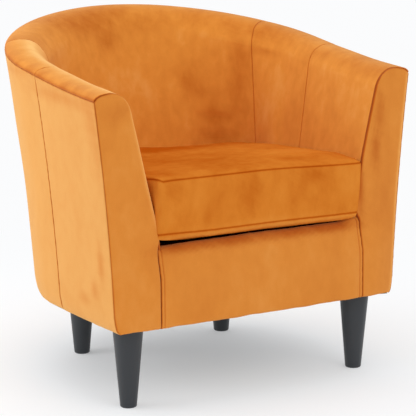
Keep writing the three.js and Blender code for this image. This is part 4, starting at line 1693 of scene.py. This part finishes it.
        # Painted shade on the inside back's up-facing faces.
        sheet.edges, sheet.marks, sheet.up_painted_light_and_nap = inner_edges, INSIDE_MARKS, self.up_painted_light_and_nap
        sheet.relief = self.uneven(sheet.seed, self.panel_swell, True)
        wardrobe.fit(sheet.build(), Slot.VELVET, ("inside_back_cover", "back_foam"), Nap.INSIDE)

    def panel(self, node: str, places: Array, rows: Array, surface: Surface, way: int) -> Sheet:
        """Lays out one panel of the wall.

        Args:
            node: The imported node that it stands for.
            places: Its columns.
            rows: Its rows.
            surface: Its surface.
            way: 1 for a panel that looks into the tub and -1 for one that looks out.

        Returns:
            The panel, without its edges.
        """
        middle = np.array([places[len(places) // 2]])
        nx, ny = self.form.inward(middle, np.array([self.level]))
        facing = (way * float(nx[0]), way * float(ny[0]), 0.1)
        sheet = Sheet(node + "_velvet", places, rows, surface, facing)
        sheet.seed = sum(ord(letter) for letter in node)
        sheet.relief = self.uneven(sheet.seed, self.panel_swell)
        return sheet


# Front of the seat and the deck


@dataclass
class SeatFront:
    """The panel across the front, over the edge of the seat, and the deck behind it."""

    form: TubForm = field(default_factory=TubForm)
    nose: float = 0.015
    top_run: float = 0.003
    stitch_inset: float = 0.0065
    seam_inset: float = 0.00575
    corner_rise: float = 0.0122
    corner_span: Span = (0.178, 0.218)
    drawn_span: Span = (0.270, 0.310)
    stitch_depth: float = 0.0013
    stitch_width: float = 0.0011
    pucker: float = 0.0009
    pucker_run: float = 0.012
    swell: float = 0.0022
    swell_run: float = 0.05
    gathers: float = 0.0012
    gathers_at: float = 0.300
    gathers_height: float = 0.016
    slow_wave: float = 0.0010
    deck_setback: float = 0.0005
    deck_level: float = 0.025
    deck_tuck: float = 0.006
    deck_drop: float = 0.0004
    deck_sag: float = 0.0005
    span: float = 0.45
    stitch_span: Span = (0.003, 0.011)

    def half_width(self, z: Array) -> Array:
        """Half the width between the arms' facings at a height.

        Args:
            z: Heights.

        Returns:
            Half widths.
        """
        f = self.form
        place = np.full(np.shape(z), 2.0)
        seam = f.top_seam(place)[2]
        drop = np.minimum(seam - z, seam - f.wall_foot(place))
        return f.outer(place, z)[0] - f.inner_depth(place, drop) + self.seam_inset

    def front(self, u: Array, v: Array) -> Array:
        """From the lower edge (v 0) up the front and over the nose to the deck (v 1).

        Args:
            u: Shares across, from 0 to 1.
            v: Shares from the start to the end, from 0 to 1.

        Returns:
            Points of the panel.
        """
        f = self.form
        rise = f.deck_height - self.nose - f.base_height
        arc = self.nose * np.pi / 2
        s = v * (rise + arc + self.top_run)
        angle = np.clip((s - rise) / self.nose, 0, np.pi / 2)
        top = f.deck_height - self.nose + self.nose * np.sin(angle)
        z = np.where(s < rise, f.base_height + s, top)
        back = self.nose * (1 - np.cos(angle)) + np.clip(s - rise - arc, 0, None)
        x = (2 * u - 1) * self.half_width(z)
        drawn_up = self.corner_rise * ease(x, *self.corner_span) * ease(z, *self.drawn_span)
        return np.stack([x, f.front_plane(z) + back, z + drawn_up], -1)

    def relief(self, m: Margins, points: Array) -> Array:
        """A line of stitches beside each side seam, and gathers under the nose.

        Args:
            m: Distances from the sheet's edges.
            points: Points, with a last axis of three.

        Returns:
            Heights over the panel.
        """
        near = np.minimum(m.start, m.end)
        total = groove(near - self.stitch_inset, self.stitch_depth, self.stitch_width)
        waves = self.pucker * ripple(m.foot, 5, (0.016, 0.029))
        total += waves * np.exp(-near / self.pucker_run)
        total += self.swell * (1 - np.exp(-near / self.swell_run))
        above = (points[..., 2] - self.gathers_at) / self.gathers_height
        under = np.exp(-(above**2))
        total += self.gathers * under * ripple(m.start, 9, (0.021, 0.037, 0.055))
        slow = self.slow_wave * ripple(m.start, 3, (0.17, 0.29))
        return total + slow * ripple(m.foot, 4, (0.14, 0.2))

    def deck(self, u: Array, v: Array) -> Array:
        """The deck cover, from the nose (v 0) to the back (v 1), sagging a little.

        Args:
            u: Shares across, from 0 to 1.
            v: Shares from the start to the end, from 0 to 1.

        Returns:
            Points of the deck.
        """
        f = self.form
        front = -f.depth / 2 + self.nose + self.deck_setback
        run = np.linspace(0.02, 1.90, 300)
        level = np.full(run.shape, f.deck_height - self.deck_level)
        deep = f.inner_depth(run, f.top_seam(run)[2] - level) - self.deck_tuck
        edge = f.wall(run, deep, level)
        depth = edge[0, 1] - front
        y = front + depth * v
        x = np.interp(-y, -edge[:, 1], edge[:, 0])
        across = 2 * u - 1
        sag = self.deck_sag * (1 - across**2) * np.sin(np.pi * v)
        return np.stack([across * x, y, f.deck_top(y) - self.deck_drop - sag], -1)

    def build(self, wardrobe: Wardrobe) -> None:
        """Builds and dresses the front panel and the deck.

        Args:
            wardrobe: The finishes.
        """
        rows = np.unique(np.concatenate([stations(0.19), np.linspace(0.70, 1, 24)]))
        beside = np.linspace(*self.stitch_span, 17) / self.span
        columns = np.unique(np.concatenate([stations(0.43), beside, 1 - beside]))
        border = Sheet("front_border_velvet", columns, rows, self.front, (0, -1, 0.1))
        border.edges = (PLAIN_SEAM, PLAIN_SEAM, TURNED_UNDER, None)
        border.relief, border.marks = self.relief, FRONT_NAP_AND_SHADE_MARKS
        border.stitched = self.stitch_inset
        even = np.linspace(0, 1, 60)
        # The deck sheet wears the near-black deck velvet, painted shade under the cushion.
        deck = Sheet("deck_painted_shade_velvet", even, even, self.deck, (0, 0, 1))
        for sheet, node, slot, nap in (
            (border, "front_border_cover", Slot.VELVET, Nap.FRONT),
            (deck, "deck_cover", Slot.VELVET_DECK, None),
        ):
            wardrobe.fit(sheet.build(), slot, (node,), nap)


# The seat cushion

SEAT_MARKS = marks_of(
    (120, -325, 425, 30, 30, 16, -0.70),
    (-30, -325, 405, 18, 30, 40, -0.60),
    (65, -325, 385, 12, 30, 35, -0.45),
    (-195, -320, 420, 20, 30, 22, -0.50),
    (-120, -325, 370, 50, 30, 18, -0.30),
    (20, -325, 345, 140, 30, 8, 0.30),
    (205, -322, 390, 16, 30, 40, 0.30),
    (-120, -150, 445, 140, 110, 30, -0.50),
    (-20, 50, 430, 160, 70, 30, -1.00),
    (120, -270, 445, 80, 30, 30, -0.35),
    (150, -180, 445, 70, 40, 30, 0.40),
    (0, -336, 332.5, 500, 14, 5.5, 1.00),
)


@dataclass
class SeatCushion:
    """The loose box cushion: two faces and a boxing strip, sewn, stuffed and swollen."""

    form: TubForm = field(default_factory=TubForm)
    height: float = 0.105
    crown: float = 0.003
    top_round: float = 0.004
    lower_crown: float = 0.024
    lower_round: float = 0.012
    deck_gap: float = 0.0004
    wall_gap: float = 0.0012
    front: float = -0.3395
    half_front: float = 0.2315
    corner: float = 0.007
    lower_corner: float = 0.013
    corner_swell: float = 0.007
    bow: float = 0.004
    shift: float = 0.004
    seam_draw: float = 0.004
    back_corner: float = 0.56
    pressure: float = 4.0
    reach: float = 0.006
    front_reach: float = 0.006
    top_reach: float = 0.002
    seam_radius: float = 0.0026
    seam_line: float = 0.0014
    seam_pucker: float = 0.0008
    slow_wave: float = 0.0016
    top_tone: float = 0.42
    lower_run: float = 0.085
    facing_gap: float = 0.0010
    meet_run: float = 0.006
    free_run: float = 0.022
    free_span: Span = (-0.003, 0.008)
    front_span: Span = (-0.24, -0.325)
    right_fall: float = 0.0095
    right_span: Span = (-0.02, 0.25)
    left_rise: float = 0.0030
    left_span: Span = (-0.214, -0.232)
    notch: float = 0.0018
    notch_at: float = -0.2185
    notch_width: float = 0.006
    lower_left: float = 0.0025
    lower_left_span: Span = (-0.10, -0.22)
    lower_right: float = 0.0035
    lower_right_span: Span = (0.0, 0.23)
    back_fall: float = 0.0095
    back_span: Span = (-0.06, 0.17)
    back_side_span: Span = (-0.07, 0.08)
    back_right: float = 0.0015
    held_within: float = 0.0008
    frames: int = 20
    ahead_by: float = 0.002
    side_share: float = 0.6

    def __post_init__(self) -> None:
        """Sets the stations across the faces, from front to back and down the side."""
        width, depth = 0.47, 0.46
        self.across = stations(width, 0.004, 0.011)
        self.deep = stations(depth, 0.004, 0.011)
        self.down = stations(self.height, 0.003, 0.010)

    def seam_height(self, y: Array, share: float) -> Array:
        """Height at which the cushion's side is, so far down it: 0 upper seam, 1 lower."""
        low = self.form.deck_top(y) + self.deck_gap + self.lower_crown
        return low + self.height * (1 - share)

    def half_outline(self, share: float) -> tuple[Array, int, int]:
        """Right half of the outline in plan, from the front's middle to the back's.

        Args:
            share: How far down the side.

        Returns:
            Points in space, and the numbers of those at the front and the back corner.
        """
        f = self.form
        inset = self.seam_draw * (2 * share - 1) ** 2
        radius = self.corner + (self.lower_corner - self.corner) * share
        radius += self.corner_swell * 4 * share * (1 - share)
        front = self.front + inset
        width = self.half_front - inset / 2
        front_z = self.seam_height(np.array([front]), share)
        two = np.array([2.0])
        gap = self.wall_gap
        deep = f.inner_depth(two, f.top_seam(two)[2] - front_z)[0] + gap
        between = float(f.outer(two, front_z)[0][0]) - deep
        facing = float((f.front_plane(front_z) - SWELL.reach(front_z))[0])
        free = float(ease(between - width, *self.free_span))
        leave = max(front + radius, facing - self.facing_gap)
        meet = facing + self.meet_run + self.free_run * free
        angle = np.linspace(0, np.pi / 2, 13)
        straight = width - radius
        corner_x = straight + radius * np.sin(angle)
        corner_y = front + radius * (1 - np.cos(angle))
        edge_x = np.linspace(0, straight, 60)[:-1]
        edge_y = front - self.bow * (1 - (edge_x / straight) ** 2)
        places = np.linspace(1.98, 0.0, 260)
        y = np.full(places.shape, front)
        for _ in range(6):
            z = self.seam_height(y, share)
            depth = f.inner_depth(places, f.top_seam(places)[2] - z) + gap
            wall = f.wall(places, depth, z)
            y = wall[..., 1]
        keep = y > meet + 0.001
        wall_x = wall[keep][:, 0]
        link_y = np.linspace(leave, meet, 16)[1:]
        link_x = width + (wall_x[0] - width) * ease(link_y, leave, meet)
        x = np.concatenate([edge_x, corner_x, link_x, wall_x])
        y = np.concatenate([edge_y, corner_y, link_y, y[keep]])
        first = len(edge_x) + 6
        skipped = len(edge_x) + len(corner_x) + len(link_x) - int(np.argmax(keep))
        second = int(np.argmin(np.abs(places - self.back_corner))) + skipped
        return np.stack([x, y, self.seam_height(y, share)], -1), first, second

    def lean(self, points: Array) -> Array:
        """The cushion as it lies: pushed to the right and lower there, pinched at its corner.

        Args:
            points: Points, with a last axis of three.

        Returns:
            The same points, moved.
        """
        x, y = points[..., 0], points[..., 1]
        low = self.seam_height(y, 1.0)
        up = np.clip((points[..., 2] - low) / self.height, 0, 1)
        front = ease(y, *self.front_span)
        fall = self.left_rise * ease(x, *self.left_span)
        fall = fall - self.right_fall * ease(x, *self.right_span)
        from_notch = (x - self.notch_at) / self.notch_width
        notch = self.notch * np.exp(-(from_notch**2)) * ease(up, 0.8, 1.0)
        lower = self.lower_left * ease(x, *self.lower_left_span)
        lower = lower - self.lower_right * ease(x, *self.lower_right_span)
        back = -self.back_fall * ease(y, *self.back_span) * ease(x, *self.back_side_span)
        back -= self.back_right * ease(x, 0.0, 0.2)
        rise = front * (up * fall - notch + (1 - up) * lower) + (1 - front) * up * back
        return points + np.stack([self.shift * front * up, np.zeros_like(x), rise], -1)

    def rim(self, share: float, leaning: bool = True) -> list[Array]:
        """The four sides of the outline at a share of the height.

        Args:
            share: How far down the side.
            leaning: True for the cushion as it lies, False for it as sewn.

        Returns:
            Front, right, back and left side, each with both of its corners, running round.
        """
        half, first, second = self.half_outline(share)
        mirror = half * [-1, 1, 1]
        front = np.concatenate([mirror[first:0:-1], half[: first + 1]])
        right = half[first : second + 1]
        back = np.concatenate([half[second:], mirror[-2 : second - 1 : -1]])
        left = mirror[second : first - 1 : -1]
        spans = (self.across, self.deep, self.across, self.deep)
        lines = zip((front, right, back, left), spans)
        sides = [resample(line, span) for line, span in lines]
        return [self.lean(side) for side in sides] if leaning else sides

    def face(self, share: float) -> Array:
        """A face as a grid whose border lies on the rim, crowned.

        Args:
            share: 0 for the top face and 1 for the bottom one.

        Returns:
            Its grid of points.
        """
        front, right, back, left = self.rim(share, False)
        back, left = back[::-1], left[::-1]
        u, v = self.across[None, :, None], self.deep[:, None, None]
        corners = (1 - v) * ((1 - u) * front[0] + u * front[-1])
        corners = corners + v * ((1 - u) * back[0] + u * back[-1])
        flat = (1 - v) * front + v * back + (1 - u) * left[:, None] + u * right[:, None]
        points = flat - corners
        out = np.maximum(np.abs(2 * u - 1), np.abs(2 * v - 1))[..., 0]
        points[..., 2] = self.seam_height(points[..., 1], share)
        inside = (1 - out) * self.half_front
        level = points[..., 2].copy()
        points = self.lean(points)
        if share == 0:
            points[..., 2] += quarter(inside, self.top_round) + self.crown * (1 - out**4)
        else:
            more = self.lower_crown - self.lower_round
            run = np.clip(inside - self.lower_round, 0, None) / self.lower_run
            flat = 1 - np.exp(-(run**2))
            points[..., 2] -= quarter(inside, self.lower_round) + more * flat
            points[..., 2] = np.maximum(points[..., 2], level - self.lower_crown)
        return points

    def build(self, wardrobe: Wardrobe) -> None:
        """Sews, stuffs and dresses the cushion.

        Args:
            wardrobe: The finishes.
        """
        piece = self.sew()
        self.stuff(piece)
        modifier = piece.modifiers.new("smooth", "SUBSURF")
        modifier.levels = modifier.render_levels = 1
        apply_modifiers(piece)
        self.stitch(piece)
        lay_nap_and_painted_light(piece, SEAT_MARKS, self.top_tone)
        make_active(piece)
        bpy.ops.object.shade_smooth()
        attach(piece, "seat_cushion")
        parts = ("core", "top_panel", "bottom_panel", "boxing")
        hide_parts(*["cushion_" + part for part in parts])
        wardrobe.dress(piece, Slot.VELVET, Nap.SEAT)
        report(piece)

    def sew(self) -> Piece:
        """Joins the two faces and the boxing strip along their seams.

        Returns:
            The closed cushion.
        """
        side = []
        for share in self.down:
            lines = self.rim(share)
            side.append(np.concatenate([lines[0]] + [line[1:] for line in lines[1:]]))
        parts = []
        for points in (self.face(0.0), self.face(1.0), np.stack(side)):
            deselect_all()
            rows, columns = points.shape[:2]
            bpy.ops.mesh.primitive_grid_add(x_subdivisions=columns - 1, y_subdivisions=rows - 1)
            part = bpy.context.object
            write_points(part, points)
            parts.append(part)
        deselect_all()
        for part in parts:
            part.select_set(True)
        bpy.context.view_layer.objects.active = parts[0]
        bpy.ops.object.join()
        piece = bpy.context.object
        piece.name = piece.data.name = "seat_cushion_velvet"
        bpy.ops.object.mode_set(mode="EDIT")
        bpy.ops.mesh.select_all(action="SELECT")
        bpy.ops.mesh.remove_doubles(threshold=0.0002)
        bpy.ops.mesh.normals_make_consistent(inside=False)
        bpy.ops.object.mode_set(mode="OBJECT")
        return piece

    def seams(self) -> tuple[Array, Array]:
        """Dense points of the two seams and how far along its seam each lies.

        Returns:
            The points, and the place of each along its seam.
        """
        points, along = [], []
        for share in (0.0, 1.0):
            lines = self.rim(share)
            loop = np.concatenate([lines[0]] + [line[1:] for line in lines[1:]])
            dense = resample(loop, np.linspace(0, 1, 1400))
            points.append(dense)
            step = np.linalg.norm(np.diff(dense, axis=0), axis=1)
            along.append(np.concatenate([[0], np.cumsum(step)]))
        return np.concatenate(points), np.concatenate(along)

    def from_seams(self, points: Array) -> tuple[Array, Array]:
        """Distance of each point from the nearest seam, and its place along it.

        Args:
            points: Points, with a last axis of three.

        Returns:
            The distances and the places.
        """
        seams, along = self.seams()
        tree = KDTree(len(seams))
        for i, point in enumerate(seams):
            tree.insert(point, i)
        tree.balance()
        found = [tree.find(point) for point in points]
        return np.array([hit[2] for hit in found]), along[[hit[1] for hit in found]]

    def stuff(self, piece: Piece) -> None:
        """Swells the cushion with a cloth simulation, held at its seams.

        Args:
            piece: The sewn cushion.
        """
        before = read_points(piece)
        held = piece.vertex_groups.new(name="held")
        on_seam = np.nonzero(self.from_seams(before)[0] < self.held_within)[0]
        held.add([int(i) for i in on_seam], 1.0, "REPLACE")
        cloth = piece.modifiers.new("cloth", "CLOTH")
        settings = cloth.settings
        settings.quality = 8
        settings.use_pressure = True
        settings.uniform_pressure_force = self.pressure
        settings.tension_stiffness = settings.compression_stiffness = 25
        settings.bending_stiffness = 1.5
        settings.mass = 0.4
        settings.vertex_group_mass = "held"
        settings.effector_weights.gravity = 0.0
        cloth.collision_settings.use_collision = False
        for number in range(1, self.frames + 1):
            bpy.context.scene.frame_set(number)
        apply_modifiers(piece)
        bpy.context.scene.frame_set(1)
        step = read_points(piece) - before
        length = np.linalg.norm(step, axis=1, keepdims=True)
        LOG.info("the cushion's cloth swells by up to %.1f mm", 1000 * float(length.max()))
        step *= self.reach * np.tanh(length / self.reach) / np.maximum(length, 1e-9)
        ahead = before[:, 1] < self.form.front_plane(before[:, 2]) - self.ahead_by
        step[:, 0] *= np.where(ahead, self.side_share, 0.0)
        step[:, 2] = np.minimum(step[:, 2], self.top_reach)
        forward = self.front_reach * np.tanh(step[:, 1] / self.front_reach)
        step[:, 1] = np.where(ahead, forward, 0.0)
        self.lay_down(piece, before + step)
        piece.vertex_groups.clear()

    def lay_down(self, piece: Piece, points: Array) -> None:
        """Moves the cushion's points, none of them into the deck.

        Args:
            piece: The cushion.
            points: Where its points go.
        """
        floor = self.form.deck_top(points[:, 1]) + self.deck_gap
        points[:, 2] = np.maximum(points[:, 2], floor)
        write_points(piece, points)

    def stitch(self, piece: Piece) -> None:
        """Draws the seams in, gathers the cloth beside them and writes the seams' UVs.

        Args:
            piece: The stuffed cushion.
        """
        points = read_points(piece)
        away, along = self.from_seams(points)
        normals = np.empty(len(points) * 3)
        piece.data.vertex_normals.foreach_get("vector", normals)
        left = np.clip(self.seam_radius - away, 0, None)
        lift = np.sqrt(np.maximum(self.seam_radius**2 - left**2, 0)) - self.seam_radius
        waves = ripple(along, 51, (0.014, 0.023, 0.041))
        beside = np.exp(-away / 0.012) * (1 - np.exp(-away / 0.002))
        lift += self.seam_pucker * waves * beside
        slow = ripple(points[:, 0], 52, (0.11, 0.19)) * ripple(points[:, 1], 53, (0.13, 0.22))
        lift += self.slow_wave * slow * (1 - np.exp(-away / 0.03))
        self.lay_down(piece, points + normals.reshape(-1, 3) * lift[:, None])
        lay_uv(piece, away - self.seam_line, along)


# Legs and the cloth under the base


@dataclass
class Legs:
    """Four turned legs that taper to a small rounded foot."""

    height: float = 0.1597
    top_radius: float = 0.030
    foot_radius: float = 0.016
    sides: int = 96
    foot_round: float = 0.0026
    top_round: float = 0.0008
    sharp_from: float = 35.0

    def build(self, wardrobe: Wardrobe) -> None:
        """Turns one leg and copies it to each corner.

        Args:
            wardrobe: The finishes.
        """
        pattern = self.turn()
        for end in ("front", "rear"):
            for side in ("left", "right"):
                node = f"leg_{end}_{side}"
                low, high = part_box(node)
                piece = pattern.copy()
                piece.data = pattern.data.copy()
                bpy.context.scene.collection.objects.link(piece)
                piece.name = piece.data.name = node + "_turned"
                piece.location = ((low[0] + high[0]) / 2, (low[1] + high[1]) / 2, 0)
                settle(piece)
                wardrobe.fit(piece, Slot.BLACK_LEG, (node,))
        bpy.data.objects.remove(pattern)

    def turn(self) -> Piece:
        """Models one leg at the origin.

        Returns:
            The leg, with a rounded foot and a fine edge at its top.
        """
        deselect_all()
        bpy.ops.mesh.primitive_cone_add(
            vertices=self.sides,
            radius1=self.foot_radius,
            radius2=self.top_radius,
            depth=self.height,
            location=(0, 0, self.height / 2),
        )
        piece = bpy.context.object
        settle(piece)
        mesh = bmesh.new()
        mesh.from_mesh(piece.data)
        rims = [e for e in mesh.edges if abs(e.verts[0].co.z - e.verts[1].co.z) < 1e-6]
        feet = [e for e in rims if e.verts[0].co.z < 0.001]
        heads = [e for e in rims if e.verts[0].co.z > 0.1]
        for rim, radius, steps in ((feet, self.foot_round, 5), (heads, self.top_round, 2)):
            geom = [e for e in rim if e.is_valid]
            bmesh.ops.bevel(
                mesh, geom=geom, offset=radius, segments=steps, affect="EDGES", profile=0.5
            )
        mesh.to_mesh(piece.data)
        mesh.free()
        make_active(piece)
        bpy.ops.object.shade_smooth_by_angle(angle=math.radians(self.sharp_from))
        return piece


@dataclass
class DustCover:
    """The black cloth stapled under the base, drawn a little proud of it at its edge."""

    form: TubForm = field(default_factory=TubForm)
    thickness: float = 0.0012
    inset: float = 0.020
    middle_y: float = -0.05
    sag: float = 0.0035
    wave: float = 0.0012
    round_run: float = 2.4
    peeps: tuple[Span, ...] = ((-0.207, 0.007), (0.283, 0.010))
    peep_sag: float = 0.0058

    def surface(self, u: Array, v: Array) -> Array:
        """From the middle (v 0) to the edge (v 1), round the outline (u).

        Args:
            u: Shares across, from 0 to 1.
            v: Shares from the start to the end, from 0 to 1.

        Returns:
            Points of the cloth.
        """
        f = self.form
        place = 2 - 4 * u
        level = np.full(u.shape, f.base_height)
        edge = f.wall(place, np.full(u.shape, self.inset), level)
        middle = np.array([0.0, self.middle_y, f.base_height])
        points = middle + (edge - middle) * v[..., None]
        waves = self.wave * ripple(u * self.round_run, 21, (0.21, 0.35))
        sag = self.sag * (1 - v**2) + waves * v**6
        front = ease(points[..., 1], -0.25, -0.30) * v**12
        for x, width in self.peeps:
            sag += self.peep_sag * front * np.exp(-(((points[..., 0] - x) / width) ** 2))
        points[..., 2] = f.base_height - sag
        return points

    def build(self, wardrobe: Wardrobe) -> None:
        """Builds and dresses the cloth.

        Args:
            wardrobe: The finishes.
        """
        sheet = Sheet(
            "dust_cover_cloth",
            np.linspace(0, 1, 161),
            np.linspace(0.02, 1, 24),
            self.surface,
            (0, 0, -1),
            thickness=self.thickness,
        )
        wardrobe.fit(sheet.build(), Slot.BLACK_CLOTH, ("dust_cover",))


# The studio


@dataclass(frozen=True)
class Lamp:
    """A square softbox."""

    name: str
    place: Triple
    size: float
    power: float
    aim: Triple = (0.0, 0.0, 0.4)

    def add(self) -> None:
        """Adds the softbox to the scene."""
        data = bpy.data.lights.new(self.name, "AREA")
        data.shape = "SQUARE"
        data.size = self.size
        data.energy = self.power
        lamp = bpy.data.objects.new(self.name, data)
        bpy.context.scene.collection.objects.link(lamp)
        lamp.location = self.place
        way = Vector(self.aim) - Vector(self.place)
        lamp.rotation_euler = way.to_track_quat("-Z", "Y").to_euler()


@dataclass(frozen=True)
class Studio:
    """Camera, floor and soft light of a plain product photograph."""

    camera_place: Triple = (-2.0286, -3.5671, 1.2072)
    forward: Triple = (0.49689, 0.84097, -0.21415)
    lens: float = 176.46
    ambient: float = 0.86
    near_floor: float = 0.0
    far_floor: float = 1.2
    near_white: float = 0.27
    floor_size: float = 60.0
    floor_drop: float = 0.0004
    lamps: tuple[Lamp, ...] = (
        Lamp("left", (-2.3, 0.75, 1.0), 1.5, 20.0),
        Lamp("overhead", (-0.3, 0.5, 3.2), 2.6, 20.0),
        Lamp("front", (0.8, -3.6, 2.2), 2.4, 20.0),
    )

    def build(self) -> None:
        """Sets up the camera, the floor, the lamps and the world."""
        self.camera()
        self.floor()
        for lamp in self.lamps:
            lamp.add()
        self.world()
        bpy.context.scene.view_settings.view_transform = "Standard"

    def camera(self) -> None:
        """Adds the camera at the photograph's viewpoint."""
        data = bpy.data.cameras.new("camera")
        data.lens = self.lens
        data.sensor_width = 36.0
        data.sensor_fit = "HORIZONTAL"
        camera = bpy.data.objects.new("camera", data)
        bpy.context.scene.collection.objects.link(camera)
        camera.location = self.camera_place
        camera.rotation_euler = Vector(self.forward).to_track_quat("-Z", "Y").to_euler()
        bpy.context.scene.camera = camera

    def seen_by_camera(self, s: Shader) -> Socket:
        """1 on rays that come from the camera, straight or by a mirror or glass.

        Args:
            s: The shader to build in.

        Returns:
            The value.
        """
        path = s.node("ShaderNodeLightPath")
        total = None
        for name in ("Is Camera Ray", "Is Glossy Ray", "Is Transmission Ray"):
            if total is None:
                total = path.outputs[name]
                continue
            both = s.node("ShaderNodeMath", operation="MAXIMUM")
            s.link(total, both.inputs[0])
            s.link(path.outputs[name], both.inputs[1])
            total = both.outputs[0]
        return total

    def floor(self) -> None:
        """Adds the white floor, which keeps the chair's shadow and is plain white far off."""
        deselect_all()
        bpy.ops.mesh.primitive_plane_add(size=self.floor_size)
        floor = bpy.context.object
        floor.name = "floor"
        write_points(floor, read_points(floor) - [0, 0, self.floor_drop])
        s = Shader("white_floor")
        coords = s.object_coords()
        tone = s.noise(coords, 0.7, 1.0)
        s.give({
            "Base Color": s.between(tone, (0.94, 0.955, 0.97), (0.955, 0.965, 0.975)),
            "Roughness": 0.9,
            "Specular IOR Level": 0.0,
        })
        distance = s.node("ShaderNodeVectorMath", operation="LENGTH")
        s.link(coords, distance.inputs[0])
        far = s.node("ShaderNodeMapRange", interpolation_type="SMOOTHSTEP")
        far.inputs["From Min"].default_value = self.near_floor
        far.inputs["From Max"].default_value = self.far_floor
        far.inputs["To Min"].default_value = self.near_white
        s.link(distance.outputs["Value"], far.inputs["Value"])
        factor = s.node("ShaderNodeMath", operation="MULTIPLY")
        s.link(far.outputs[0], factor.inputs[0])
        s.link(self.seen_by_camera(s), factor.inputs[1])
        white = s.node("ShaderNodeEmission")
        white.inputs["Color"].default_value = (0.965, 0.97, 0.98, 1)
        blend = s.node("ShaderNodeMixShader")
        s.link(factor.outputs[0], blend.inputs["Fac"])
        s.link(s.surface.outputs[0], blend.inputs[1])
        s.link(white.outputs[0], blend.inputs[2])
        s.link(blend.outputs[0], s.tree.nodes["Material Output"].inputs["Surface"])
        floor.data.materials.append(s.material)

    def world(self) -> None:
        """Lights the scene evenly and shows plain white behind it."""
        world = bpy.data.worlds.new("studio")
        bpy.context.scene.world = world
        world.use_nodes = True
        tree = world.node_tree
        tree.nodes.clear()
        nodes = {}
        for name, kind in (
            ("out", "ShaderNodeOutputWorld"),
            ("mix", "ShaderNodeMixShader"),
            ("light", "ShaderNodeBackground"),
            ("shown", "ShaderNodeBackground"),
            ("path", "ShaderNodeLightPath"),
        ):
            nodes[name] = tree.nodes.new(kind)
        nodes["light"].inputs["Color"].default_value = (0.97, 0.985, 1.0, 1)
        nodes["light"].inputs["Strength"].default_value = self.ambient
        nodes["shown"].inputs["Color"].default_value = (1, 1, 1, 1)
        nodes["shown"].inputs["Strength"].default_value = 1.0
        tree.links.new(nodes["path"].outputs["Is Camera Ray"], nodes["mix"].inputs["Fac"])
        tree.links.new(nodes["light"].outputs[0], nodes["mix"].inputs[1])
        tree.links.new(nodes["shown"].outputs[0], nodes["mix"].inputs[2])
        tree.links.new(nodes["mix"].outputs[0], nodes["out"].inputs["Surface"])


def write_sizes() -> None:
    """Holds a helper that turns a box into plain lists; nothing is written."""

    def plain(box: object) -> list[list[float]]:
        """A box as plain lists."""
        return [[float(v) for v in corner] for corner in box]


def main() -> None:
    """Builds the studio, the finishes and every piece of the chair."""
    logging.basicConfig(level=logging.INFO, format="%(name)s: %(message)s")
    Studio().build()
    wardrobe = Wardrobe()
    wardrobe.dress_frame()
    WallCovers().build(wardrobe)
    SeatFront().build(wardrobe)
    SeatCushion().build(wardrobe)
    Legs().build(wardrobe)
    DustCover().build(wardrobe)
    write_sizes()


if __name__ == "__main__":
    main()
